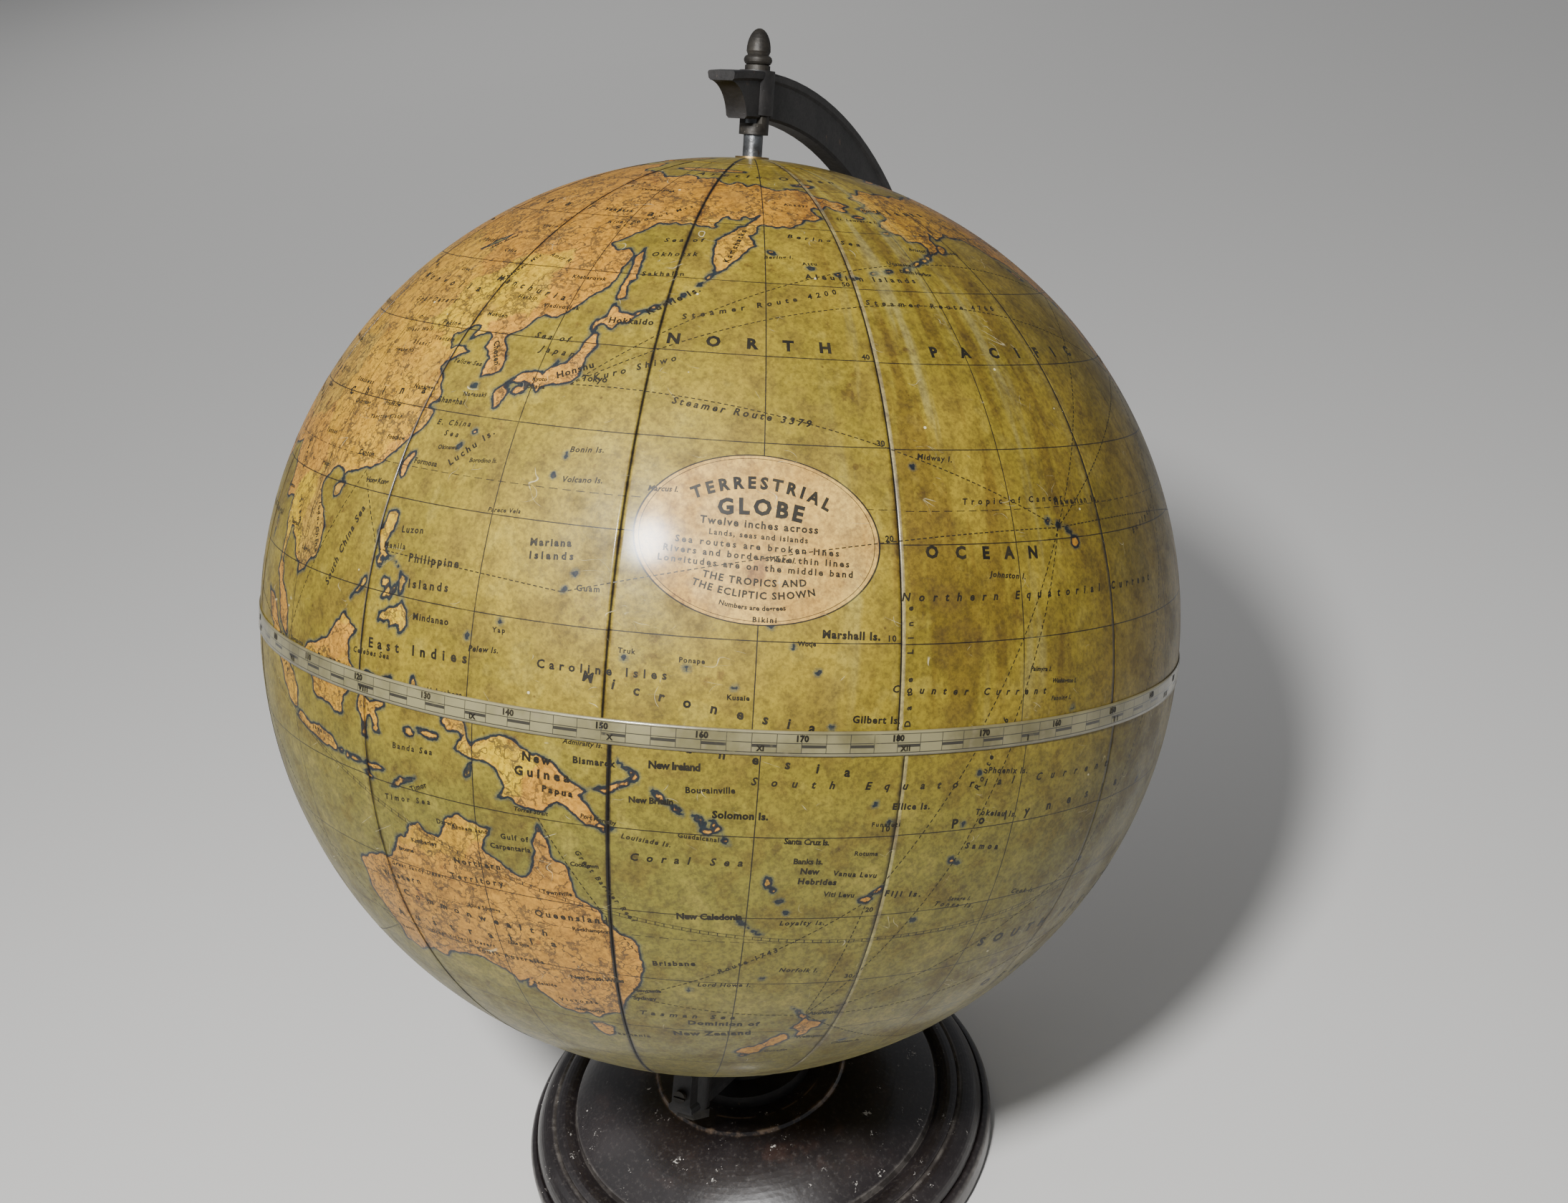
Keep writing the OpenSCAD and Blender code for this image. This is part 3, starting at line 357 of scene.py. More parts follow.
def shore_distance(coast, lons, lats):
    """Signed distance in mm, positive inside, of a lon-lat grid from one closed outline."""
    best = np.full((len(lats), len(lons)), -FAR)
    furthest = max(abs(lats[0]), abs(lats[-1]))
    margin = REACH / max(0.12, math.cos(math.radians(min(88, furthest))))
    for shift in (-360, 0, 360):
        x, y = coast[:, 0] + shift, coast[:, 1]
        if x.max() < lons[0] - margin or x.min() > lons[-1] + margin:
            continue
        if y.max() < lats[0] - REACH or y.min() > lats[-1] + REACH:
            continue
        x0, y0, x1, y1 = x[:-1], y[:-1], x[1:], y[1:]
        inside = np.zeros(best.shape, bool)
        for row, lat in enumerate(lats):
            cut = (y0 > lat) != (y1 > lat)
            where = x0[cut] + (lat - y0[cut]) * (x1[cut] - x0[cut]) / (y1[cut] - y0[cut])
            inside[row] = (where[:, None] > lons[None, :]).sum(0) % 2 == 1
        near = (np.minimum(x0, x1) < lons[-1] + margin) & (np.maximum(x0, x1) > lons[0] - margin)
        near &= (np.minimum(y0, y1) < lats[-1] + REACH) & (np.maximum(y0, y1) > lats[0] - REACH)
        gap = np.full(best.shape, FAR)
        for row, lat in enumerate(lats):
            squeeze = max(0.02, math.cos(math.radians(lat)))
            close = near & (np.minimum(y0, y1) < lat + 3.5) & (np.maximum(y0, y1) > lat - 3.5)
            if not close.any():
                continue
            ax, ay = (x0[close][:, None] - lons) * squeeze, (y0[close] - lat)[:, None]
            dx, dy = ((x1 - x0)[close] * squeeze)[:, None], (y1 - y0)[close][:, None]
            along = np.clip(-(ax * dx + ay * dy) / (dx * dx + dy * dy + 1e-12), 0, 1)
            gap[row] = np.minimum(FAR, DEG_MM * np.hypot(ax + along * dx, ay + along * dy).min(0))
        best = np.maximum(best, np.where(inside, gap, -gap))
    return best


def land_distance(lons, lats):
    """All the lands together, less the lakes."""
    total = np.full((len(lats), len(lons)), -FAR)
    for coast in lands:
        total = np.maximum(total, shore_distance(coast, lons, lats))
    for lake in lakes:
        total = np.minimum(total, -shore_distance(lake, lons, lats))
    return total


print("one degree is", round(DEG_MM, 3), "mm on the paper")

# %% [markdown]
# Each country is washed with a flat tint. A tint spreads from the nearest of these places,
# and a little noise bends the borders. The tints are what printed inks look like now, under
# a century of yellowed varnish.

# %% Tints of the countries
TINTS = {"orange": (.46, .215, .012), "gold": (.52, .285, .013), "yellow": (.55, .36, .008),
         "peach": (.52, .255, .022), "buff": (.42, .26, .030), "green": (.26, .23, .022)}
COUNTRIES = [  # longitude, latitude, tint
    (100, 66, "orange"), (130, 66, "orange"), (160, 65, "orange"), (180, 67, "orange"),
    (70, 60, "orange"), (140, 55, "orange"), (115, 55, "orange"), (40, 58, "orange"),
    (158, 56, "gold"), (135, 47, "orange"), (143, 50, "orange"), (125, 46, "yellow"),
    (105, 46, "gold"), (115, 35, "gold"), (105, 31, "gold"), (112, 27, "gold"), (119, 28, "gold"),
    (118, 41, "yellow"), (92, 32, "buff"), (88, 41, "gold"), (127, 38, "peach"),
    (138, 36, "peach"), (143, 43, "peach"), (131, 33, "peach"), (121, 24, "peach"),
    (107, 15, "buff"), (101, 15, "yellow"), (96, 21, "peach"), (78, 22, "peach"),
    (122, 13, "yellow"), (125, 7.5, "yellow"), (118, 10, "yellow"), (114, 4.5, "peach"),
    (114, -1, "gold"), (101, 0, "gold"), (110, -7, "gold"), (121, -2, "gold"), (102, 4, "peach"),
    (137, -4.5, "yellow"), (128, -2, "gold"), (125, -9.5, "gold"), (144.5, -6, "peach"),
    (150, -5, "peach"), (158, -8, "peach"), (134, -25, "peach"), (122, -24, "peach"),
    (146, -24, "peach"), (145, -33, "peach"), (147, -42, "peach"), (173, -41, "peach"),
    (165, -21, "buff"), (178, -17, "peach"), (167, -15, "buff"), (203, 20, "gold"),
    (205, 64, "gold"), (195, 56, "gold"), (-110, 58, "peach"), (-75, 54, "peach"),
    (-95, 68, "peach"), (-100, 40, "gold"), (-120, 40, "gold"), (-80, 38, "gold"),
    (-102, 24, "orange"), (-86, 14, "green"), (-78, 20, "buff"), (-60, -8, "green"),
    (-74, 4, "orange"), (-66, 7, "gold"), (-75, -10, "buff"), (-65, -17, "orange"),
    (-65, -36, "buff"), (-71, -32, "gold"), (-56, -33, "peach"), (-42, 72, "buff"),
    (-2, 53, "peach"), (2, 47, "green"), (10, 51, "buff"), (-4, 40, "orange"), (12, 43, "gold"),
    (20, 50, "yellow"), (22, 44, "peach"), (15, 62, "gold"), (26, 63, "green"), (33, 39, "green"),
    (45, 24, "yellow"), (54, 32, "green"), (66, 33, "buff"), (2, 26, "green"), (-5, 32, "green"),
    (18, 27, "gold"), (30, 27, "yellow"), (30, 12, "peach"), (39, 9, "orange"), (8, 9, "peach"),
    (-8, 9, "green"), (22, -3, "buff"), (37, 0, "peach"), (35, -6, "peach"), (17, -12, "green"),
    (36, -17, "green"), (25, -29, "peach"), (28, -17, "peach"), (17, -22, "peach"),
    (47, -19, "green"), (46, 6, "gold"), (0, -78, "buff"), (120, -75, "buff"), (-120, -78, "buff")]


def point_on(lon, lat):
    """A map place as a point on a ball of radius 1."""
    lon, lat = math.radians(lon), math.radians(lat)
    return Vector((math.cos(lat) * math.cos(lon), math.cos(lat) * math.sin(lon), math.sin(lat)))


capitals = kdtree.KDTree(len(COUNTRIES))
for number, (lon, lat, tint) in enumerate(COUNTRIES):
    capitals.insert(point_on(lon, lat), number)
capitals.balance()
TINT_TABLE = np.array([TINTS[tint] + (1,) for _, _, tint in COUNTRIES])


def tint_grid(lons, lats, distance):
    """A colour for each grid point: its country's tint up to just off the coast, then buff."""
    colours = np.tile(TINTS["buff"] + (1,), (len(lats), len(lons), 1)).astype(float)
    for row, column in np.argwhere(distance > -1.5):
        place = point_on(lons[column], lats[row])
        bent = place + 0.035 * noise.noise_vector(place * 22)
        colours[row, column] = TINT_TABLE[capitals.find(bent)[1]]
    return colours


print(len(COUNTRIES), "washes in", len(TINTS), "tints")

# %% [markdown]
# ## Finishes
# A material in Blender is a graph of nodes. Written out by hand such a graph is hard to read,
# so one small class wraps a socket, and the usual signs then add the Math nodes: a line such as
# `1 - mask * 0.5` is both the sum and its nodes. A Finish is one material, and its wear() joins
# what was worked out to the shader.

# %% Shader values and finishes
class Value:
    """One output socket of a finish, usable in plain arithmetic."""

    def __init__(self, finish, socket):
        self.finish, self.socket = finish, socket

    def math(self, operation, *others):
        """Adds one Math node with this value first."""
        return self.finish.node("ShaderNodeMath", {"operation": operation}, [self, *others])

    def __add__(self, other):
        return self.math("ADD", other)

    def __sub__(self, other):
        return self.math("SUBTRACT", other)

    def __rsub__(self, other):
        return self.finish.node("ShaderNodeMath", {"operation": "SUBTRACT"}, [other, self])

    def __mul__(self, other):
        return self.math("MULTIPLY", other)

    def __truediv__(self, other):
        return self.math("DIVIDE", other)

    def __abs__(self):
        return self.math("ABSOLUTE")

    def __lt__(self, other):
        return self.math("LESS_THAN", other)

    def __gt__(self, other):
        return self.math("GREATER_THAN", other)

    __radd__ = __add__
    __rmul__ = __mul__

    def either(self, other):
        """The larger of the two, which joins two masks."""
        return self.math("MAXIMUM", other)

    def ramp(self, start, end):
        """0 at start and 1 at end, eased between; it may run downwards."""
        return self.finish.node("ShaderNodeMapRange", {"interpolation_type": "SMOOTHSTEP"},
                                {"Value": self, "From Min": start, "From Max": end})

    def line(self, width, soft=0.1):
        """1 where the value is within half a width of nought, such as on a printed line."""
        return abs(self).ramp(width / 2 + soft / 2, max(0, width / 2 - soft / 2))

    def every(self, pitch, start=0.0):
        """Distance to the nearest multiple of pitch, counted from start."""
        return self.finish.node("ShaderNodeMath", {"operation": "PINGPONG"}, [self - start, pitch / 2])


class Finish:
    """A procedural material, built up from Values and ended by wear()."""

    def __init__(self, name):
        self.material = bpy.data.materials.new(name)
        self.material.use_nodes = True
        self.tree = self.material.node_tree
        self.shader = self.tree.nodes["Principled BSDF"]
        self.place = self.node("ShaderNodeTexCoord", out="Object")

    def node(self, kind, settings=None, inputs=None, out=0):
        """Adds a node: its settings first, then the values or links of its sockets."""
        made = self.tree.nodes.new(kind)
        for name, value in (settings or {}).items():
            setattr(made, name, value)
        items = inputs.items() if isinstance(inputs, dict) else enumerate(inputs or [])
        for name, value in items:
            if isinstance(value, Value):
                self.tree.links.new(value.socket, made.inputs[name])
            else:
                made.inputs[name].default_value = value
        return Value(self, made.outputs[out])

    def mix(self, factor, a, b, blend="MIX"):
        """Blends two colours by a factor; sockets 0, 6 and 7 of a colour Mix are the live ones."""
        settings = {"data_type": "RGBA", "blend_type": blend}
        colours = [c if isinstance(c, Value) or len(c) == 4 else (*c, 1) for c in (a, b)]
        inputs = {0: factor, 6: colours[0], 7: colours[1]}
        return self.node("ShaderNodeMix", settings, inputs, out=2)

    def noise(self, size, detail=3, rough=0.55, place=None, out="Fac"):
        """Cloudy noise whose patches are about size metres across."""
        inputs = {"Vector": place or self.place, "Scale": 1 / size, "Detail": detail, "Roughness": rough}
        return self.node("ShaderNodeTexNoise", {}, inputs, out=out)

    def cells(self, size, feature="F1", place=None, out="Distance"):
        """Scattered cells about size metres apart."""
        inputs = {"Vector": place or self.place, "Scale": 1 / size}
        return self.node("ShaderNodeTexVoronoi", {"feature": feature}, inputs, out=out)

    def stretch(self, scale=(1, 1, 1), turn=(0, 0, 0), at=(0, 0, 0)):
        """The place squeezed, turned and moved by a Mapping node."""
        return self.node("ShaderNodeMapping", {"vector_type": "TEXTURE"},
                         {"Vector": self.place, "Location": at, "Rotation": turn, "Scale": scale})

    def shaken(self, size, amount):
        """The place shaken by noise, which frays the edges of what is drawn with it."""
        inputs = {0: amount, 4: self.place, 5: self.noise(size, 3, out="Color")}
        return self.node("ShaderNodeMix", {"data_type": "VECTOR"}, inputs, out=1)

    def read(self, name, out="Fac"):
        """A value stored on the mesh."""
        return self.node("ShaderNodeAttribute", {"attribute_name": name}, out=out)

    def parts(self, vector):
        """The x, y and z of a vector."""
        return [self.node("ShaderNodeSeparateXYZ", {}, [vector], out=axis) for axis in "XYZ"]

    def specks(self, size, share, radius, place=None):
        """1 on a random share of scattered round specks."""
        chance = self.parts(self.cells(size, place=place, out="Color"))[0]
        return self.cells(size, place=place).ramp(radius, radius * 0.6) * (chance > 1 - share)

    def wear(self, colour, rough, bump=None, depth=0.0, **constants):
        """Joins colour, roughness and bump to the shader and sets its constant sockets."""
        sockets = {"Base Color": colour, "Roughness": rough}
        for name, value in constants.items():
            sockets[name.replace("_", " ").title().replace("Ior", "IOR")] = value
        if bump is not None:
            inputs = {"Strength": 1.0, "Distance": depth, "Height": bump}
            sockets["Normal"] = self.node("ShaderNodeBump", {}, inputs)
        for socket, value in sockets.items():
            if isinstance(value, Value):
                self.tree.links.new(value.socket, self.shader.inputs[socket])
            else:
                self.shader.inputs[socket].default_value = value
        return self.material


# %% [markdown]
# ### The map paper
# The paper was printed in flat tints and fine black line, then varnished. The varnish has
# gone brown, unevenly, and is stained, scratched and chipped. Longitude and latitude are
# stored on the mesh as `map_place`, as the map was printed, so a gore that was pasted a
# little askew carries its own lines askew with it.

# %% Tints and ink of the map
LABEL = (164.6, 20.1)                # longitude and latitude of the title's centre
LABEL_SIZE = (32.9, 22.7)            # half its width and height, mm
LABEL_TURN = math.radians(-2.5)
INK = (.012, .010, .007)
COAST_INK = (.010, .016, .020)


def printed_tints(f, lat, coast, on_land, blotch):
    """The washes of the sea and of the countries, unevenly browned."""
    mottle = f.noise(46 * MM, 6, 0.62)
    sea = f.mix(mottle.ramp(0.32, 0.68), (.190, .142, .011), (.285, .205, .018))
    sea = f.mix(lat.ramp(6, -16) * 0.8, sea, (.165, .148, .024))
    sea = f.mix(blotch.ramp(0.48, 0.64) * 0.48, sea, (.115, .072, .010))
    sea = f.mix(blotch.ramp(0.46, 0.32) * 0.30, sea, (.39, .31, .055))
    tint = f.read("land_tint", out="Color")
    wash = f.mix(f.noise(20 * MM, 4).ramp(0.3, 0.75) * 0.45, tint, (.42, .19, .025))
    wash = f.mix(coast.ramp(1.8, 0.0) * 0.35, wash, (.60, .25, .03))
    wash = f.mix(blotch.ramp(0.50, 0.68) * 0.40, wash, (.24, .13, .03))
    return f.mix(on_land, sea, wash)


def inked_lands(f, colour, lat, coast, on_land):
    """Borders, rivers and hills on land, hatching off the shore and the coast line itself."""
    frayed = f.shaken(5 * MM, 0.016)
    borders = f.cells(17 * MM, "DISTANCE_TO_EDGE", place=frayed).ramp(0.026, 0.013)
    counties = f.cells(8 * MM, "DISTANCE_TO_EDGE", place=frayed).ramp(0.036, 0.018) * 0.6
    water = f.noise(17 * MM, 6, 0.6, place=f.stretch(at=(.7, .1, .4))) - 0.5
    hills = f.noise(9 * MM, 5, 0.7, place=f.stretch(at=(.9, .5, .2))).ramp(0.56, 0.66)
    slopes = f.stretch((1, 2.2, 1), turn=(0.4, 0.2, 0.8))
    relief = hills * f.noise(0.9 * MM, 2, 0.5, place=slopes).ramp(0.5, 0.6)
    drawn = borders.either(counties).either(water.line(0.024, 0.010) * 0.9).either(relief * 0.55)
    colour = f.mix(drawn * coast.ramp(0.2, 0.7) * 0.8, colour, (.050, .036, .018))
    shore = coast.ramp(-1.3, -0.1) * (1 - on_land)
    hatch = (lat * DEG_MM).every(0.5).ramp(0.20, 0.10)
    colour = f.mix(shore * (0.55 + 0.40 * hatch), colour, (.055, .070, .055))
    return f.mix(coast.line(0.72, 0.22) * 0.97, colour, COAST_INK)


def ruled_net(f, colour, lon, lat, east):
    """Meridians, parallels, the dashed tropics and the ladder of the ecliptic."""
    meridians = (lon.every(15) * east).line(0.32, 0.14)
    parallels = (lat.every(10) * DEG_MM).line(0.30, 0.14)
    tropics = ((abs(lat) - 23.45) * DEG_MM).line(0.22, 0.12) * (lon.every(1.6) > 0.28)
    swing = lon.math("RADIANS").math("COSINE")
    off = (lat - (swing * 0.4337).math("ARCTANGENT").math("DEGREES")) * DEG_MM
    rungs = off.line(1.1, 0.1) * lon.every(1).line(0.12, 0.06)
    ecliptic = (abs(off) - 0.55).line(0.20, 0.12).either(rungs)
    net = meridians.either(parallels).either(tropics).either(ecliptic)
    broken = f.noise(9 * MM, 3).ramp(0.30, 0.42)
    return f.mix(net * (0.74 + 0.26 * broken), colour, INK)


def title_oval(f, colour, lon, lat, blotch):
    """The pale oval behind the title, with a heavy and a light ruled edge."""
    along = (lon - LABEL[0]) * (DEG_MM * math.cos(math.radians(LABEL[1])))
    up = (lat - LABEL[1]) * DEG_MM
    x = (along * math.cos(LABEL_TURN) + up * math.sin(LABEL_TURN)) / LABEL_SIZE[0]
    y = (up * math.cos(LABEL_TURN) - along * math.sin(LABEL_TURN)) / LABEL_SIZE[1]
    oval = ((x * x + y * y).math("SQRT") - 1) * LABEL_SIZE[1]
    buff = f.mix(blotch.ramp(0.4, 0.7) * 0.7, (.58, .36, .080), (.38, .20, .030))
    colour = f.mix(oval.ramp(0.05, -0.05), colour, buff)
    return f.mix(oval.line(0.34, 0.12).either((oval + 0.95).line(0.14, 0.08)), colour, INK)


print("title", [2 * half for half in LABEL_SIZE], "mm")

# %% [markdown]
# Age comes after the print: brown streaks and a paler joint near the date line, dirt in the
# joints, stains and fox marks, and last the scratches and chips that show bare paper. A painted
# shade also darkens the side of the ball that is turned from the lamp.

# %% Age of the map, a painted shade, and the whole finish
def streaked(f, colour, lon, lat, east):
    """Streaks and open joints that run with the meridians, and a painted shade on the side of the ball turned from
    the lamp.
    """
    place = f.node("ShaderNodeCombineXYZ", {}, [lon / 4.5, lat / 40, 3.0])
    bands = f.noise(1, 4, 0.55, place=place)
    banded = lon.ramp(170, 180) * lon.ramp(216, 202) * lat.ramp(-6, 10)
    colour = f.mix(bands.ramp(0.50, 0.60) * banded * 0.65, colour, (.52, .42, .50), "MULTIPLY")
    colour = f.mix(bands.ramp(0.46, 0.34) * banded * 0.34, colour, (.33, .30, .12))
    # Painted shade: the side of the ball from about 200 to 270 degrees east, turned from the lamp, is darkened in
    # the colour itself.
    painted_shade = lon.ramp(196, 220) * lon.ramp(300, 240)
    colour = f.mix(painted_shade * 0.6, colour, (.55, .50, .60), "MULTIPLY")
    date_line = (lon - 180) * east
    open_joint = ((lon - 150) * east).line(1.0, 0.5)
    colour = f.mix((date_line - 0.75).line(1.0, 0.3) * 0.45, colour, (.34, .30, .15))
    return f.mix(date_line.line(0.5, 0.2).either(open_joint) * 0.92, colour, INK)


def stained(f, colour, side, grain):
    """Dirt along the joints, stains, fox marks and the grain of the brown varnish."""
    slant = (0.5, 0.2, 0.9)
    dirt = side.ramp(2.4, 0.0) * f.noise(7 * MM, 4).ramp(0.40, 0.60)
    smudge = f.noise(10 * MM, 5, 0.7, place=f.stretch((1, 1, 1.8), turn=slant)).ramp(0.60, 0.72)
    spots = f.specks(15 * MM, 0.25, 0.075, place=f.stretch((1, 1, 1.6), turn=slant))
    foxing = f.specks(5 * MM, 0.12, 0.10)
    patch = f.noise(4.5 * MM, 5, 0.66, place=f.stretch(at=(.1, .25, .4)))
    for mask, brown in (
            (dirt * 0.75, (.42, .36, .50)),
            (smudge * 0.75, (.46, .36, .60)),
            (spots.either(foxing) * 0.7, (.42, .34, .50)),
            (patch.ramp(0.42, 0.66) * 0.48, (.42, .40, .55)),
            (grain.ramp(0.38, 0.66) * 0.60, (.40, .38, .55))):
        colour = f.mix(mask, colour, brown, "MULTIPLY")
    return colour


def bared(f):
    """1 where fine scratches and small chips have gone through the varnish."""
    hair = f.noise(7 * MM, 0, 0.4, place=f.stretch((1, 1, 12), turn=(0.5, 0.9, 0.2))) - 0.5
    cross = f.stretch((10, 1, 1), turn=(0.2, 0.6, 0.5), at=(.1, .3, .2))
    more = f.noise(6 * MM, 0, 0.4, place=cross) - 0.5
    hairs = hair.line(0.005, 0.004).either(more.line(0.005, 0.004))
    scratched = hairs * f.noise(11 * MM, 3).ramp(0.60, 0.68)
    chips = f.specks(9 * MM, 0.14, 0.055, place=f.stretch((1, 1, 1.4), turn=(0.9, 0.3, 0.1)))
    return (scratched * 0.7).either(chips)


def map_finish(name):
    f = Finish(name)
    lon, lat, side = f.parts(f.read("map_place", out="Vector"))
    east = lat.math("RADIANS").math("COSINE") * DEG_MM
    coast = f.read("coast_mm") + (f.noise(2.4 * MM, 3) - 0.5) * 1.5
    on_land = coast.ramp(-0.05, 0.05)
    blotch = f.noise(13 * MM, 5, 0.62, place=f.stretch(at=(.31, .2, .1)))
    grain = f.noise(1.3 * MM, 3, 0.7)
    bare = bared(f)
    colour = printed_tints(f, lat, coast, on_land, blotch)
    colour = inked_lands(f, colour, lat, coast, on_land)
    colour = ruled_net(f, colour, lon, lat, east)
    colour = title_oval(f, colour, lon, lat, blotch)
    colour = streaked(f, colour, lon, lat, east)
    colour = stained(f, colour, side, grain)
    colour = f.mix(bare * 0.8, colour, (.60, .54, .33))
    crazing = f.cells(2.2 * MM, "DISTANCE_TO_EDGE").ramp(0.0, 0.05)
    rough = 0.46 + blotch.ramp(0.4, 0.7) * 0.14 + bare * 0.2 + grain * 0.06
    height = grain * 0.35 + f.noise(9 * MM, 4) * 2.2 - bare * 1.2 + crazing * 0.12
    return f.wear(colour, rough, height, 0.05 * MM, coat_weight=0.20, coat_roughness=0.16,
                  coat_ior=1.5, specular_ior_level=0.30)


MAP_PAPER = map_finish("varnished_map_paper")
print("map finish nodes", len(MAP_PAPER.node_tree.nodes))

# %% [markdown]
# ## Gores
# A flat printed strip cannot lie on a ball, so the map was printed as twelve pointed gores
# for each half and pasted on side by side. Each gore starts as a grid primitive, is bent on to
# the ball by its own longitude and latitude, and is thickened to 0.3 mm. Its eastern edge laps
# over its neighbour, which leaves the low ridge that is seen at every joint.

# %% Gores
COLUMNS, ROWS = 66, 178
GORE_DEG = 30.0
LAP = 0.10 * MM                      # how far the lapped edge stands up
LAP_W = 1.6 * MM
WAVE = 0.05 * MM                     # how far the glued paper waves in and out


def paper_grid(name, columns, rows):
    """A flat grid primitive; returns it with each vertex's place across and up, 0 to 1."""
    nothing_selected()
    bpy.ops.mesh.primitive_grid_add(x_subdivisions=columns, y_subdivisions=rows, size=1)
    sheet = bpy.context.object
    sheet.name = sheet.data.name = name
    flat = np.empty(len(sheet.data.vertices) * 3)
    sheet.data.vertices.foreach_get("co", flat)
    flat = flat.reshape(-1, 3) + 0.5
    return sheet, flat[:, 0], flat[:, 1]


def store(piece, name, kind, values):
    """Writes one value for each vertex into an attribute of the mesh."""
    attribute = piece.data.attributes.new(name, kind, "POINT")
    field = {"FLOAT": "value", "FLOAT_VECTOR": "vector", "FLOAT_COLOR": "color"}[kind]
    attribute.data.foreach_set(field, np.asarray(values, float).ravel())


def thicken(piece, thickness):
    """Gives a sheet its thickness inwards."""
    wall = piece.modifiers.new("paper", "SOLIDIFY")
    wall.thickness, wall.offset = thickness, -1
    bpy.ops.object.modifier_apply(modifier=wall.name)
    piece.data.polygons.foreach_set("use_smooth", [True] * len(piece.data.polygons))


def bend(piece, lon, lat, radius):
    """Moves every vertex of a sheet to its place on the ball."""
    piece.data.vertices.foreach_set("co", on_globe(lon, lat, radius).ravel())
    piece.data.update()


def print_map(piece, lon, lat, side, columns, rows):
    """Stores what was printed at each vertex of a sheet."""
    lons = lon.reshape(rows + 1, columns + 1)[0]
    lats = lat.reshape(rows + 1, columns + 1)[:, 0]
    distance = land_distance(lons, lats)
    store(piece, "map_place", "FLOAT_VECTOR", np.stack([lon, lat, side], 1))
    store(piece, "coast_mm", "FLOAT", distance)
    store(piece, "land_tint", "FLOAT_COLOR", tint_grid(lons, lats, distance))


def paper_lift(number, across, lat):
    """How far the paper stands off the plain ball: the lap at its east edge and a slight wave."""
    from_east = (1 - across) * GORE_DEG * DEGREE * np.cos(np.radians(lat))
    wave = [noise.noise(Vector((x * 3, y / 9, gore * 7 + (y < 0))))
            for gore, x, y in zip(number, across, lat)]
    return LAP * np.clip(1.5 - from_east / LAP_W, 0, 1) + WAVE * np.array(wave)


def make_gore(half, number):
    """One half-gore; half is 1 for north and -1 for south."""
    name = f"gore_{'north' if half > 0 else 'south'}_{number + 1:02d}"
    piece, across, rise = paper_grid(name + "_paper", COLUMNS, ROWS)
    if half < 0:
        rise = 1 - rise
    lat = half * rise * CALOTTE_LAT
    lon = (number + across) * GORE_DEG
    width = GORE_DEG * DEG_MM * np.cos(np.radians(lat))
    side = np.minimum(across, 1 - across) * width
    lift = paper_lift([number] * len(lat), across, lat - (1e-6 if half < 0 else 0))
    bend(piece, lon + (SOUTH_SLIP if half < 0 else 0), lat, GLOBE_R + lift)
    askew = random.Random(f"{number}{half}")
    shown_lon = lon + askew.uniform(-0.12, 0.12)
    shown_lat = lat + askew.uniform(-0.15, 0.15) + (SOUTH_DROP if half < 0 else 0)
    print_map(piece, shown_lon, shown_lat, side, COLUMNS, ROWS)
    thicken(piece, PAPER)
    piece.data.materials.append(MAP_PAPER)
    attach(piece, "globe")
    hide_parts(name)
    return piece


gores = [make_gore(half, number) for half in (1, -1) for number in range(12)]
print(len(gores), "gores,", sum(len(gore.data.polygons) for gore in gores), "faces")

# %% [markdown]
# The pointed ends of the gores are hidden by a round paper at each pole, the calotte, with a
# hole for the axle. It is a grid bent into a ring, so its two ends have to be merged.

# %% Calottes
FERRULE_R = 5.5 * MM                 # half the width of the hole, which fits the ferrule
RING_GRID = (240, 24)
CALOTTE_LAP = 0.6                    # degrees of the gores' tips that it covers
CALOTTE_LIFT = 0.14 * MM


def merge_seam(piece):
    """Merges points that lie together: the ends of a ring, or the face and sides of a letter."""
    bpy.ops.object.mode_set(mode="EDIT")
    bpy.ops.mesh.select_all(action="SELECT")
    bpy.ops.mesh.remove_doubles(threshold=0.001 * MM)
    bpy.ops.object.mode_set(mode="OBJECT")


def make_calotte(half):
    """The round paper of one pole; half is 1 for north and -1 for south."""
    name = "calotte_north" if half > 0 else "calotte_south"
    piece, across, rise = paper_grid(name + "_paper", *RING_GRID)
    top = 90 - math.degrees(FERRULE_R / GLOBE_R)
    if half < 0:
        rise = 1 - rise
    lat = half * (CALOTTE_LAT - CALOTTE_LAP + rise * (top - CALOTTE_LAT + CALOTTE_LAP))
    lon = across * 360
    bend(piece, lon, lat, GLOBE_R + CALOTTE_LIFT)
    print_map(piece, lon, lat, rise * 20, *RING_GRID)
    merge_seam(piece)
    thicken(piece, PAPER / 2)
    piece.data.materials.append(MAP_PAPER)
    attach(piece, "globe")
    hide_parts(name)


for half in (1, -1):
    make_calotte(half)
print("calottes made")

# %% [markdown]
# ## Equator tape
# A narrow paper tape covers the joint between the two halves of the ball. A line along its
# middle parts two rows of boxes, one to every 2.5 degrees, and every other box of the lower
# row has a black bar at its top.

# %% Equator tape
TAPE_W = 7.0                         # mm
TAPE_LIFT = 0.06 * MM
RIPPLE = 0.05 * MM


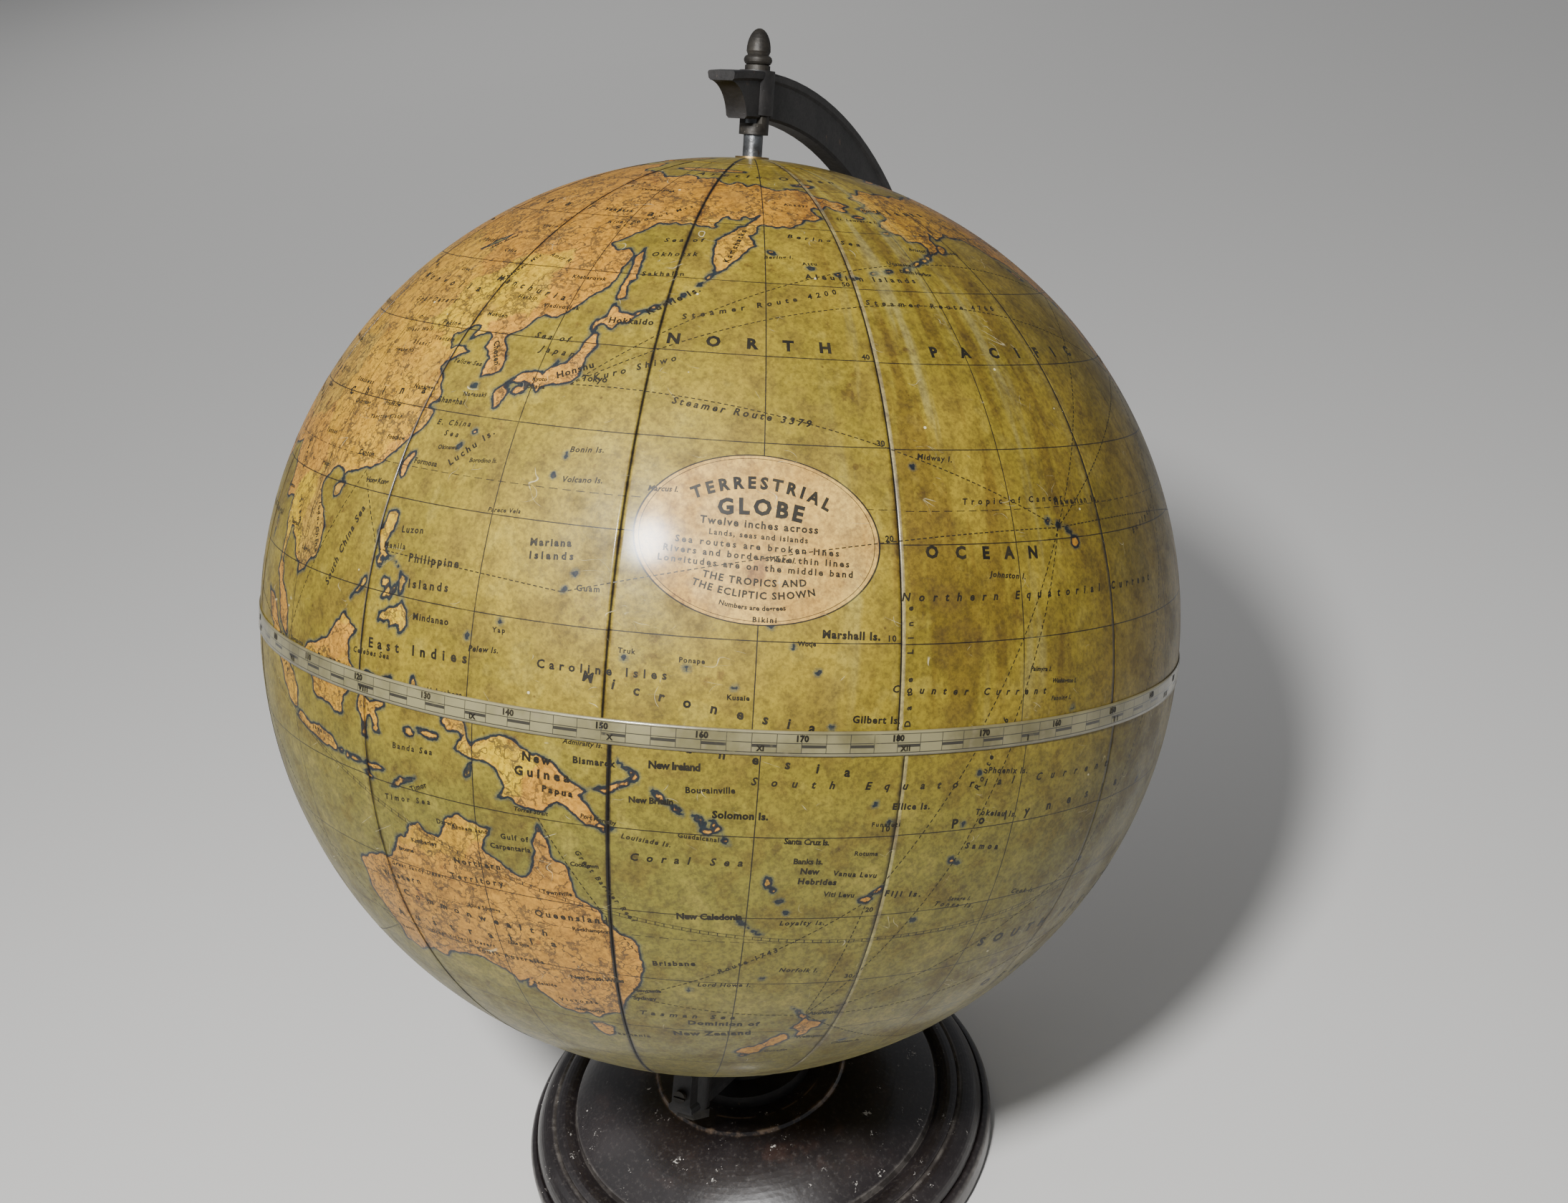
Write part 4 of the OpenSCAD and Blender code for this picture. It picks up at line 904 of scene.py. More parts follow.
def tape_finish(name):
    """Greyed paper with boxes, bars and three ruled lines under a glossy varnish."""
    f = Finish(name)
    lon, high, _ = f.parts(f.read("map_place", out="Vector"))
    paper = f.mix(f.noise(17 * MM, 4).ramp(0.35, 0.7), (.205, .185, .095), (.115, .100, .044))
    paper = f.mix(f.noise(3 * MM, 4).ramp(0.5, 0.75) * 0.5, paper, (.20, .17, .10))
    bar = (lon.every(5, 1.25) < 1.25) * (abs(high + 0.72) < 0.42)
    cell = (lon.every(2.5) * DEG_MM).line(0.20, 0.1) * (abs(high) < 2.6)
    edges = (high - 2.6).line(0.2, 0.1).either((high + 2.6).line(0.26, 0.1))
    rules = edges.either((high - 0.1).line(0.24, 0.1))
    worn = f.noise(11 * MM, 5, 0.65).ramp(0.33, 0.45)
    ink = bar.either(cell).either(rules) * (0.35 + 0.6 * worn)
    colour = f.mix(ink, paper, (.022, .020, .016))
    edge = abs(high).ramp(TAPE_W / 2 - 0.5, TAPE_W / 2)
    colour = f.mix(edge * 0.55, colour, (.12, .09, .035))
    creases = f.noise(7 * MM, 3, 0.6, place=f.stretch((1, 1, 3), turn=(0.4, 0, 0)))
    rough = 0.26 + f.noise(5 * MM, 3) * 0.2
    return f.wear(colour, rough, creases * 1.6 + f.noise(1.2 * MM, 2) * 0.3, 0.08 * MM,
                  coat_weight=0.5, coat_roughness=0.12)


tape, across, rise = paper_grid("equator_tape_paper", 720, 8)
tape_lon, tape_lat = across * 360, (rise - 0.5) * TAPE_W / DEG_MM
ripple = np.array([noise.noise(Vector((math.cos(turn) * 9, math.sin(turn) * 9, high)))
                   for turn, high in zip(np.radians(tape_lon), rise)])
bend(tape, tape_lon, tape_lat, GLOBE_R + PAPER + TAPE_LIFT + RIPPLE * ripple)
store(tape, "map_place", "FLOAT_VECTOR", np.stack([tape_lon, tape_lat * DEG_MM, rise], 1))
merge_seam(tape)
thicken(tape, PAPER)
tape.data.materials.append(tape_finish("varnished_tape_paper"))
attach(tape, "globe")
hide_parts("equator_tape")
print("tape faces", len(tape.data.polygons))

# %% [markdown]
# ## Lettering
# The names are real type, set flat, turned into thin slips of ink and laid on the curve of
# the paper. Each row gives the words, the longitude and latitude of their middle, the length
# and the height of the line in mm, how far the line turns from east, and r, b or i for
# regular, bold or slanted. Spread-out names get their length from the spacing of the letters.

# %% Names on the map
NAMES = """Sea of|149.2|56.3|12|1.6|7|i;Okhotsk|148.5|53.7|14|1.6|7|i;Sakhalin|147.9|50.4|11.6|1.5|6|r
Kamchatka|159.4|56|17|1.5|76|r;Bering Sea|177.3|58|21|1.6|-6|i;Aleutian Islands|182.2|51.6|32|1.7|1|r
Kurile Is.|151|46.6|15.2|1.9|39|r;Hokkaido|145.6|43.3|13|1.7|2|r;Sea of|134.9|40.3|12|1.7|-2|i
Japan|136.6|38.6|12|1.7|-4|i;Honshu|140.2|36.6|11|1.8|26|r;Tokyo|143.2|35.8|7.5|1.7|2|r
E. China|125.9|28.9|12|1.4|4|i;Sea|126.2|27.7|6|1.4|1|i;Bonin Is.|144.6|27.9|9.3|1.4|5|i
Volcano Is.|144.8|24.7|11|1.4|4|i;Mariana|142.6|18|12|1.7|5|b;Islands|142.9|16.7|12|1.7|5|b
Guam|147.4|13.9|7|1.4|3|r;Yap|138.2|8.6|4.5|1.2|4|r;Pelew Is.|136.6|6.4|9.2|1.4|5|i
Luzon|125|17|8.3|1.6|6|r;Manila|122.9|15|8.5|1.4|5|r;Philippine|128.8|14.3|17|2|3|r
Islands|128.7|11.7|13.4|2|4|r;Mindanao|129.7|8.4|12.7|1.6|2|r;East Indies|128|4.8|33|2.4|3|r
Caroline Isles|149.5|6|32.8|2|1|r;Marshall Is.|174.6|10.9|15.4|1.8|-2|b;New|142.3|-3.9|10|2.1|-2|b
Guinea|142.9|-5.5|17|2.2|0|b;Papua|144.6|-7.1|9.3|1.6|-3|b;Bismarck|148.4|-3.4|12|1.6|1|b
New Ireland|156.6|-3|13.8|1.8|1|b;New Britain|154.4|-6.9|12|1.5|2|b;Bougainville|160.3|-5.3|13|1.5|3|r
Solomon Is.|163.5|-7.9|15|1.8|0|b;Coral Sea|158.2|-13.4|30|2|1|i;Ellice Is.|181.5|-7|10.5|1.6|-3|b
Santa Cruz Is.|170.6|-10.7|12.7|1.5|-2|r;Banks Is.|171|-13|8.2|1.5|-1|r;New|171.3|-14.2|5.5|1.6|-2|b
Hebrides|172.3|-15.5|11|1.6|-3|b;Vanua Levu|176.4|-14.7|13|1.4|-6|r;Viti Levu|175|-17.2|9|1.4|-5|r
Fiji Is.|182.6|-17.6|9.5|1.6|-7|b;New Caledonia|161|-20.3|18|1.8|3|b;Loyalty Is.|171.4|-20.9|12|1.4|0|i
Gilbert Is.|177.6|2.4|13|1.7|-2|r;Phoenix Is.|193|-4|14|1.5|-7|r;Tokelau Is.|192.4|-8.8|15|1.5|-10|r
Samoa|191.4|-12.6|14|1.6|-9|b;Tonga Is.|190|-20|14|1.4|-12|i;Norfolk I.|172.2|-28|11|1.4|-3|i
Lord Howe I.|163.4|-30.6|15|1.4|3|i;Brisbane|157.2|-27.5|12|1.7|6|r;Queensland|145.3|-22.4|22|1.9|3|r
Northern|134.3|-17.6|16|1.7|5|r;Territory|133.8|-19.8|18|1.7|5|r;Western|121.5|-22.8|18|1.7|6|r
Commonwealth|131.5|-25.2|56|2|-1|r;Australia|130.2|-28|56|2.2|6|r;Gulf of|139.5|-13.3|8.5|1.4|3|r
Carpentaria|138.9|-14.6|12.5|1.4|4|r;South Australia|135.6|-30.6|22|1.5|4|r;Darwin|131|-13.3|7|1.3|4|r
New South Wales|147.4|-31.6|16|1.5|6|r;Victoria|143.9|-36.6|12|1.4|8|r;Tasman Sea|158.9|-37|28|1.9|1|i
Dominion of|164|-38.4|21|2|1|b;New Zealand|162.6|-40.9|23|2.2|6|b;Hawaiian Is.|206.5|23.9|20|1.6|-1|r
Midway I.|185.6|29.1|10.6|1.4|-5|i;Johnston I.|193.3|16.6|12.4|1.4|-6|i;Wake I.|167.2|18.2|7|1.3|-2|i
Northern Equatorial Current|200|14.4|98|1.9|-1|i;Counter Current|188.6|4.9|51|1.7|-4|i
South Equatorial Current|187|-4.9|112|1.9|-2|i;Kuro Shiwo|148|37.5|24|1.7|22|i
Steamer Route 3379|162|33.3|37.9|1.8|-7|i;Steamer Route 4200|164.6|46.9|45|1.6|17|i
Steamer Route 4766|194|47.9|46|1.6|-1|i;Route 1743|165.8|-26.6|19|1.5|32|i
Route 2736|190.5|-2|22|1.6|69|i;Micronesia|159.5|3.4|62|2.4|-9|r;Melanesia|161|-1.4|70|2.3|-7|r
Polynesia|200|-9|66|2.4|2|r;Date Line|181|7.7|32|1.5|90|r;10|178.9|10.6|2.4|1.4|0|r
20|178.9|20.6|2.4|1.4|0|r;30|178.9|30.6|2.4|1.4|0|r;40|178.8|40.6|2.4|1.4|0|r;50|178.6|50.6|2.4|1.4|0|r
10|178.9|-9.4|2.4|1.4|0|r;20|178.9|-19.4|2.4|1.4|0|r;30|178.9|-29.4|2.4|1.4|0|r
Luchu Is.|129.8|26.6|15|1.7|44|r;Formosa|123.9|24.2|9|1.4|0|r;Timor Sea|125.6|-11.8|18|1.5|8|i
Banda Sea|127|-5.7|15|1.5|4|i;Celebes Sea|121.6|3.4|15|1.4|3|i;Borneo|114.3|1.2|13|1.7|4|r
Java|110.4|-7.3|6|1.3|-4|r;Sumatra|101.6|-.6|14|1.7|-45|r;South China Sea|114.2|13.6|26|1.9|68|i
Halmahera|132.3|1.2|12|1.4|3|r;Timor|127.6|-9.9|7|1.4|25|r;NORTH|162.7|41.5|66|3.3|0|b
PACIFIC|205.5|41.5|74|3.3|0|b;OCEAN|190.5|19|53|3.2|-2|b;SOUTH PACIFIC|214|-27|90|3.3|0|b
OCEAN|214|-37|50|3.3|0|b;Manchuria|125.8|46.6|30|1.9|-10|r;China|110|31|46|2.6|8|r
Mongolia|105|46|42|2.2|-3|r;Siberia|112|62|64|3|-4|r;Chosen|127.4|37.6|9|1.6|-60|r
Shanghai|124|31.3|10|1.5|2|r;Nanking|118|32.3|8.5|1.3|2|r;Peking|115.6|40.5|8|1.5|2|r
Tibet|88|32|24|2.1|-2|r;Turkestan|84|41.5|30|2|0|r;India|79|21.5|26|2.8|0|r;Burma|96.5|21.5|11|1.6|-60|r
Siam|101.5|15.4|9|1.6|-50|r;Indo-China|107.6|14.6|15|1.4|-68|r;Canton|113|23.8|8|1.4|2|r
Hong Kong|117|21.2|10|1.4|4|r;Yakutsk|130|61.4|11|1.5|0|r;Irkutsk|103|53.4|10|1.5|0|r
Stanovoi Mts.|141|60.7|24|1.4|40|i;Lena|124|68|8|1.3|60|i;Arctic Ocean|168|73.5|44|2.4|0|i
Alaska|207|65|22|2.2|0|r;Canada|254|58|60|3|0|b;Hudson Bay|275|60.3|22|1.8|0|i
United States|261|39.5|88|3|0|b;Mexico|257|24.6|26|2.2|-45|r;Greenland|320|72|22|2.2|60|r
Labrador|297|54|18|1.7|0|r;NORTH|306|38|40|3.3|0|b;ATLANTIC|315|30|84|3.3|0|b;OCEAN|318|21|50|3.3|0|b
West Indies|290|16.6|26|1.8|-4|i;Caribbean Sea|285|14|26|1.7|0|i;Gulf of Mexico|269|25|26|1.7|0|i
Bermuda|295.5|32.6|9|1.4|0|i;Azores|332|39|9|1.5|0|i;South America|303|-10|88|3.2|-14|b
Brazil|308|-14|50|2.8|0|r;Argentina|294.5|-36|32|2.1|-84|r;Peru|283.5|-9|14|1.9|-55|r
SOUTH|336|-12|50|3.3|0|b;ATLANTIC|342|-22|80|3.3|0|b;OCEAN|345|-32|50|3.3|0|b
Falkland Is.|301|-53.6|13|1.5|0|i;AFRICA|20|11|96|3.8|-6|b;Sahara|7|24|58|2.6|0|r
Egypt|29.5|26.6|14|1.9|0|r;Sudan|29.5|13|18|2|0|r;Congo|23|-3|22|2|0|r
Cape of Good Hope|11|-36|24|1.5|0|i;Madagascar|46.9|-19|18|1.6|74|r;Abyssinia|39.5|8.6|16|1.7|0|r
Kenya|38|.6|9|1.5|0|r;Mediterranean Sea|18|34.3|42|1.5|-3|i;EUROPE|25|52|54|3.2|0|b
France|2.6|46.7|11|1.7|0|r;Spain|356.3|40|11|1.7|0|r;Germany|10.5|51.2|12|1.5|0|r
Italy|12.2|43.2|9|1.3|-50|r;Russia|47|57|60|3|0|r;Sweden|15.6|63|12|1.4|62|r;Turkey|34|39.2|15|1.6|0|r
Persia|55|33|22|2.1|0|r;Arabia|46|23.5|26|2.4|0|r;Arabian Sea|64|15|30|2|0|i
Bay of Bengal|89|14|28|1.8|0|i;Ceylon|83.4|6.3|8|1.4|0|r;INDIAN|76|-12|66|3.4|0|b
OCEAN|80|-22|60|3.4|0|b;Tasmania|150.4|-43|12|1.5|4|r;Antarctic Circle|214|-65.6|38|1.6|0|i
Tropic of Capricorn|232|-24.4|38|1.5|0|i;Tropic of Cancer|196|24.4|36|1.5|0|i
Ecliptic|222|20.6|20|1.5|14|i;Southern Ocean|100|-55|70|2.6|0|i;ANTARCTICA|60|-77.5|70|2.8|0|b
Arctic Circle|300|67.6|20|1.4|0|i;Easter I.|251|-28.4|9|1.3|0|i;Galapagos Is.|268|2|15|1.4|0|i
Vladivostok|133.8|44.4|12|1.2|0|r;Harbin|127|45.2|7|1.2|0|r;Mukden|123.6|42.4|8|1.2|0|r
Tientsin|116.4|38.4|9|1.2|2|r;Hankow|113.8|29.8|8|1.3|2|r;Chungking|106.6|29.2|10|1.2|2|r
Yunnan|102|25|9|1.3|2|r;Foochow|117.4|26.2|8|1.2|3|r;Hanoi|104.6|21.4|6|1.2|0|r
Saigon|106|11.8|6|1.1|0|r;Bangkok|101|13.9|7|1.1|0|r;Rangoon|95.2|17.4|7|1.1|0|r
Singapore|106.6|1.6|9|1.2|0|r;Lhasa|91|29.6|6|1.2|0|r;Urga|107|48.2|5|1.2|0|r
Gobi Desert|106.5|43.2|24|1.6|4|i;Great Wall|109|39|14|1.2|8|i;Hwang Ho|109|36.2|11|1.2|4|i
Yangtze Kiang|113.5|28.2|15|1.1|8|i;Szechwan|104|31.6|12|1.3|0|r;Khabarovsk|135.6|48.9|11|1.2|0|r
Amur R.|127.6|51.6|10|1.3|-14|i;Chita|114|52|6|1.2|0|r;Anadyr|174|65.4|8|1.2|0|r
Verkhoyansk|134|67|12|1.2|0|r;Aldan R.|134|59|10|1.2|10|i;Vitim|117|57|7|1.2|0|r;Tomsk|85|57.2|7|1.2|0|r
Lake Baikal|109|53.4|9|1.1|50|i;Altai Mts.|92|48.4|12|1.3|-20|i;Kwen Lun Mts.|88|36|18|1.3|-4|i
Shansi|112|37.4|8|1.2|0|r;Himalaya Mts.|86|28.6|22|1.4|-12|i;Kashgar|76|39.6|7|1.2|0|r
Khingan Mts.|121|49.6|14|1.2|64|i;Ordos|108|40.6|6|1.1|0|r;Nagasaki|127.2|32.4|8|1.2|4|r
Kyoto|135.8|35.1|4.5|1.1|4|r;Osaka|135.6|34.2|6|1.2|4|r;Yellow Sea|123.4|36|11|1.3|0|i
Perth|117.6|-31.8|6|1.2|6|r;Adelaide|139.6|-34.4|8|1.2|6|r;Melbourne|145.3|-38.2|9|1.2|8|r
Sydney|153.4|-34.1|7|1.5|6|r;Alice Springs|134|-23.6|11|1.1|4|r;Townsville|144|-19.3|9|1.2|4|r
Rockhampton|147.6|-23.8|11|1.2|4|r;Broome|124|-18.4|6|1.2|6|r;Great Sandy Desert|125|-20.8|22|1.2|4|i
Great Victoria Desert|128.5|-29.8|24|1.2|5|i;Lake Eyre|137.6|-28|7|1.1|4|i
Kimberley|127.2|-16.6|10|1.3|6|r;Great Barrier Reef|149.6|-17.6|26|1.3|-54|i
Arnhem Land|134|-13.4|12|1.1|4|r;Cooktown|147.4|-15.2|8|1.2|2|r;Newcastle|153.8|-32.6|8|1.3|6|r
Auckland|177.6|-36.2|9|1.4|0|r;Wellington|177.6|-42|9|1.3|0|r;Dunedin|173.4|-45.8|7|1.2|6|r
Chatham Is.|185|-44.9|10|1.2|-4|i;Torres Strait|141.6|-9.8|10|1.1|0|i;Port Moresby|149|-9.6|10|1.1|-6|r
Louisiade Is.|154|-11.4|13|1.3|-6|i;Admiralty Is.|147.2|-1.6|11|1.2|0|i;Nauru|167.2|-.9|6|1.2|0|i
Kusaie|163.4|4.4|6|1.2|0|r;Ponape|158.6|7.8|7|1.2|0|r;Truk|152|8.2|5|1.2|0|r;Bikini|165.6|12.2|6|1.2|0|r
Wotje|170|10|5|1.1|0|r;Funafuti|178.9|-8.9|8|1.1|-3|r;Rotuma|177.2|-12.2|7|1.2|-3|r
Guadalcanal|159.4|-10.6|11|1.2|-4|r;Savage I.|190.4|-19.2|8|1.2|-8|i;Marcus I.|154|24.6|8|1.3|2|i
Parece Vela|136.4|20.6|10|1.1|4|i;Borodino Is.|132|25.4|9|1.1|6|i;Okinawa|126.4|26.2|7|1.1|6|r
Bering I.|167.4|54.4|8|1.2|6|i;Attu|173|53.6|4.5|1.1|4|r;Dutch Harbor|194|53|11|1.2|-6|r
Bristol Bay|200|57|10|1.2|-8|i;Nome|195.5|65.2|5|1.2|0|r;St. Lawrence I.|188.6|62.6|13|1.1|-4|i
Unalaska|191.4|54.4|8|1.1|-4|r;Kodiak|208.4|56.8|6|1.1|0|r;Fanning I.|200.6|3.2|8|1.1|-4|i
Christmas I.|204.4|1|10|1.1|-4|i;Palmyra I.|197.4|6.6|8|1.1|-6|i;Washington I.|201|5|10|1.1|-6|i
Cook Is.|200.6|-20|11|1.4|-10|i"""
TITLE = [  # words, mm up from the title's centre, cap height, length, radius of the arc
    ("TERRESTRIAL", 15.2, 3.1, 42, 40), ("GLOBE", 8.6, 4.1, 26, 60),
    ("Twelve inches across", 3.9, 1.75, 31, 0), ("Lands, seas and islands", 0.9, 1.3, 25, 0),
    ("Sea routes are broken lines", -1.9, 1.5, 41, 0),
    ("Rivers and borders are thin lines", -4.6, 1.5, 46, 0),
    ("Longitudes are on the middle band", -7.3, 1.5, 49, 0),
    ("THE TROPICS AND", -11.3, 1.6, 28, -90), ("THE ECLIPTIC SHOWN", -14.7, 1.6, 33, -60),
    ("Numbers are degrees", -18.0, 1.1, 17, -50)]
FRONT = (110, 200)                   # longitudes that face the front at rest
LARGE = 2.4                          # capitals above this height are display type
WEIGHTS = {"r": (.034, 0), "b": (.048, 0), "i": (.030, .22)}     # swell and slant of the letters
INK_PROUD = 0.04 * MM                # how far ink stands out of the paper, and reaches in


def paper_top(lon, lat):
    """How far out the varnished paper stands at a physical place, laps and all."""
    printed = np.where(lat < 0, lon - SOUTH_SLIP, lon) % 360 / GORE_DEG
    return GLOBE_R + paper_lift(np.floor(printed), printed % 1, lat)


def set_line(words, lon, lat, length, cap, turn=0.0, style="r", arc=0.0, above=0.0, lift=0.0):
    """Sets a line of type on the paper and returns it; sizes in mm, the turn in degrees."""
    nothing_selected()
    bpy.ops.object.text_add()
    line = bpy.context.object
    kind = line.data
    kind.body, kind.align_x, kind.align_y = words, "CENTER", "CENTER"
    kind.resolution_u, kind.extrude = 2, 1.0
    kind.offset, kind.shear = WEIGHTS[style]
    bpy.context.view_layer.update()
    scale = cap / (0.69 if cap > LARGE else 0.61)
    if len(words) > 1:
        kind.space_character = max(0.8, length / (line.dimensions.x * scale))
    bpy.ops.object.convert(target="MESH")
    co = np.empty(len(line.data.vertices) * 3)
    line.data.vertices.foreach_get("co", co)
    x, y, z = co.reshape(-1, 3).T
    x, y = x * scale, y * scale
    if arc:
        x, y = (arc + y) * np.sin(x / arc), (arc + y) * np.cos(x / arc) - arc
    y = y + above
    t = math.radians(turn)
    x, y = x * math.cos(t) - y * math.sin(t), x * math.sin(t) + y * math.cos(t)
    slip = SOUTH_SLIP if lat < 0 else 0
    lons = lon + slip + x / (DEG_MM * math.cos(math.radians(lat)))
    lats = lat + y / DEG_MM
    bend(line, lons, lats, paper_top(lons, lats) + lift + np.sign(z) * INK_PROUD)
    return line


def gather(name, pieces, material):
    """Joins many small pieces of print into one that turns with the globe."""
    nothing_selected()
    for piece in pieces:
        piece.select_set(True)
    bpy.context.view_layer.objects.active = pieces[0]
    bpy.ops.object.join()
    whole = bpy.context.object
    whole.name = whole.data.name = name
    merge_seam(whole)
    whole.data.materials.clear()
    whole.data.materials.append(material)
    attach(whole, "globe")
    print(name, len(whole.data.polygons), "faces from", len(pieces), "pieces")


ink = Finish("printing_ink")
faded = ink.noise(8 * MM, 4).ramp(0.3, 0.7)
PRINT_INK = ink.wear(ink.mix(faded, (.008, .007, .005), (.022, .018, .010)), 0.5,
                     coat_weight=0.12, coat_roughness=0.2, specular_ior_level=0.25)
rows = [row.split("|") for row in NAMES.replace("\n", ";").split(";")]
lines = [set_line(words, *(float(v) for v in numbers), style) for words, *numbers, style in rows]
front = [line for line, row in zip(lines, rows) if FRONT[0] < float(row[1]) < FRONT[1]]
gather("names_front", front, PRINT_INK)
gather("names_back", [line for line in lines if line not in front], PRINT_INK)
title = [set_line(words, *LABEL, length, cap, math.degrees(LABEL_TURN),
                  "b" if cap > LARGE else "r", arc, above)
         for words, above, cap, length, arc in TITLE]
gather("title_lettering", title, PRINT_INK)

# %% [markdown]
# The tape has degrees east and west in its upper row, at every tenth, and hours in roman
# figures in its lower row, at every fifteenth.

# %% Figures on the tape
TAPE_FACE = PAPER + 0.10 * MM        # the figures lie this far out from the map, on the tape
figures = []
for lon in range(0, 360, 10):
    shown = str(lon if lon <= 180 else 360 - lon)
    figures.append(set_line(shown, lon, 1.35 / DEG_MM, 1.1 * len(shown), 1.45,
                            style="b", lift=TAPE_FACE))
HOURS = "XII I II III IV V VI VII VIII IX X XI".split()
for hour in range(24):
    shown = HOURS[hour % 12]
    figures.append(set_line(shown, hour * 15, -1.55 / DEG_MM, 0.9 * len(shown) + 0.3, 1.25,
                            style="b", lift=TAPE_FACE))
gather("tape_figures", figures, PRINT_INK)

# %% [markdown]
# ### Steamer routes
# The routes are rows of short dashes along great circles. Each dash is a very thin block of ink
# bent on to the paper.

# %% Routes
PORTS = {"yokohama": (140.2, 34.9), "honolulu": (201.9, 21.2), "sydney": (151.6, -33.9),
         "suva": (178.4, -18.2), "vancouver": (234, 49.5), "san_francisco": (237, 37.6),
         "hong_kong": (114.3, 22.0), "manila": (120.2, 14.3), "apia": (188.2, -13.6),
         "auckland": (174.9, -36.5), "panama": (280.4, 8.6), "colombo": (79.6, 6.6),
         "aden": (45.2, 12.4), "cape_town": (18, -34), "fremantle": (115.2, -32.1),
         "singapore": (104.1, 1.0), "bombay": (72.4, 18.9), "new_york": (286.4, 40.3),
         "southampton": (355, 49.6), "lisbon": (350.4, 38.5), "rio": (317.2, -23.3),
         "dakar": (342.2, 14.6), "buenos_aires": (303.5, -35.6), "papeete": (210.3, -17.4),
         "valparaiso": (288, -33), "guam": (144.6, 13.3), "brisbane": (153.6, -27.2),
         "torres": (142.4, -10.4)}
ROUTES = """yokohama honolulu;yokohama vancouver;yokohama san_francisco;honolulu suva
honolulu san_francisco;honolulu vancouver;suva sydney;suva auckland;sydney auckland;honolulu apia
apia auckland;manila hong_kong;guam manila;guam honolulu;honolulu panama;panama auckland
singapore colombo;colombo aden;colombo fremantle;cape_town fremantle;bombay aden
new_york southampton;new_york lisbon;lisbon dakar;dakar rio;rio buenos_aires;cape_town dakar
papeete auckland;papeete san_francisco;valparaiso auckland;torres brisbane;hong_kong singapore"""
DASH, GAP, ROUTE_W = 1.1, 0.7, 0.30  # mm


def dashes(start, end):
    """The corners of the dashes of one route, as points on a ball of radius 1."""
    a, b = point_on(*start), point_on(*end)
    sweep = a.angle(b)
    half_width = a.cross(b).normalized() * (ROUTE_W / 2 * MM / GLOBE_R)
    corners = []
    for number in range(int(sweep * GLOBE_R / MM / (DASH + GAP))):
        for step in (number * (DASH + GAP), number * (DASH + GAP) + DASH):
            here = a.slerp(b, step * MM / GLOBE_R / sweep)
            corners += [(here + half_width * out).normalized() for out in (-1, 1)]
    return corners


corners = []
for route in ROUTES.replace("\n", ";").split(";"):
    start, end = route.split()
    corners += dashes(PORTS[start], PORTS[end])
corners = np.array(corners)
lons = np.degrees(np.arctan2(corners[:, 1], corners[:, 0])) % 360
lats = np.degrees(np.arcsin(corners[:, 2]))
slipped = lons + np.where(lats < 0, SOUTH_SLIP, 0)
tops = paper_top(slipped, lats)
upper, under = (on_globe(slipped, lats, tops + side * INK_PROUD) for side in (1, -1))
count = len(corners)
faces = []
for first in range(0, count, 4):
    a, b, c, d = (first + k for k in (0, 1, 3, 2))
    e, f, g, h = (k + count for k in (a, b, c, d))
    faces += [(a, b, c, d), (h, g, f, e), (a, e, f, b), (b, f, g, c), (c, g, h, d), (d, h, e, a)]
route_mesh = bpy.data.meshes.new("steamer_routes")
route_mesh.from_pydata(np.concatenate([upper, under]).tolist(), [], faces)
routes = bpy.data.objects.new("steamer_routes", route_mesh)
bpy.context.collection.objects.link(routes)
shape = bmesh.new()
shape.from_mesh(route_mesh)
bmesh.ops.recalc_face_normals(shape, faces=shape.faces)
shape.to_mesh(route_mesh)
shape.free()
route_mesh.materials.append(PRINT_INK)
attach(routes, "globe")
print("routes", len(faces) // 6, "dashes")

# %% [markdown]
# ## Finishes of the stand
# The stand is ebonised wood, japanned cast iron and dull metal. The polish is worn off the
# proud rings of the plinth, and their pale colour is also a painted highlight where the edges
# catch the light. The metal is rubbed in scattered places.

# %% Stand finishes
def ebonised(name):
    """Black polish on turned wood: worn on its rings, whose pale colour is also a painted highlight, browned,
    specked with chips and dust.
    """
    f = Finish(name)
    x, y, _ = f.parts(f.place)
    out = (x * x + y * y).math("SQRT") / MM
    grain = f.noise(9 * MM, 5, 0.6, place=f.stretch((1, 6, 1)))
    haze = f.noise(30 * MM, 5, 0.6)
    colour = f.mix(grain, (.007, .005, .0055), (.014, .010, .010))
    colour = f.mix(haze.ramp(0.45, 0.7) * 0.5, colour, (.030, .024, .024))
    # Pale rings at the step edges: polish worn through, and also a painted highlight where the edges catch the
    # light.
    ring_wear_and_glint = (out - 78.2).line(1.4, 1.2).either((out - 69.3).line(1.0, 0.9))
    ring_wear_and_glint = ring_wear_and_glint.either((out - 89.0).line(0.8, 1.0))
    seat = (out - 35.6).line(1.4, 1.2).either((out - 28.5).line(0.6, 0.6) * 0.7)
    patchy = f.noise(6 * MM, 4, 0.6).ramp(0.42, 0.62)
    jagged = f.shaken(1.5 * MM, 0.010)
    colour = f.mix(ring_wear_and_glint * (0.35 + 0.65 * patchy) * 0.6, colour, (.15, .135, .12))
    colour = f.mix(seat * patchy * 0.7, colour, (.27, .18, .11))
    brown = f.noise(14 * MM, 4, 0.6, place=f.stretch(at=(.2, .1, .3))).ramp(0.56, 0.70)
    colour = f.mix(brown * out.ramp(72, 40) * 0.55, colour, (.050, .026, .020))
    small = f.specks(3.4 * MM, 0.16, 0.20, place=jagged)
    large = f.specks(8 * MM, 0.22, 0.17, place=jagged)
    specks = small.either(large) * f.noise(16 * MM, 3).ramp(0.46, 0.56)
    colour = f.mix(specks * 0.85, colour, (.55, .52, .47))
    dust = f.noise(1.5 * MM, 3, 0.7).ramp(0.5, 0.8)
    colour = f.mix(dust * 0.18, colour, (.20, .18, .16))
    rough = 0.24 + haze * 0.22 + specks * 0.4 + dust * 0.12
    height = f.noise(2.5 * MM, 4) * 0.6 + f.noise(24 * MM, 3) * 3 + specks * 0.5
    return f.wear(colour, rough, height, 0.12 * MM, coat_weight=0.35, coat_roughness=0.16)


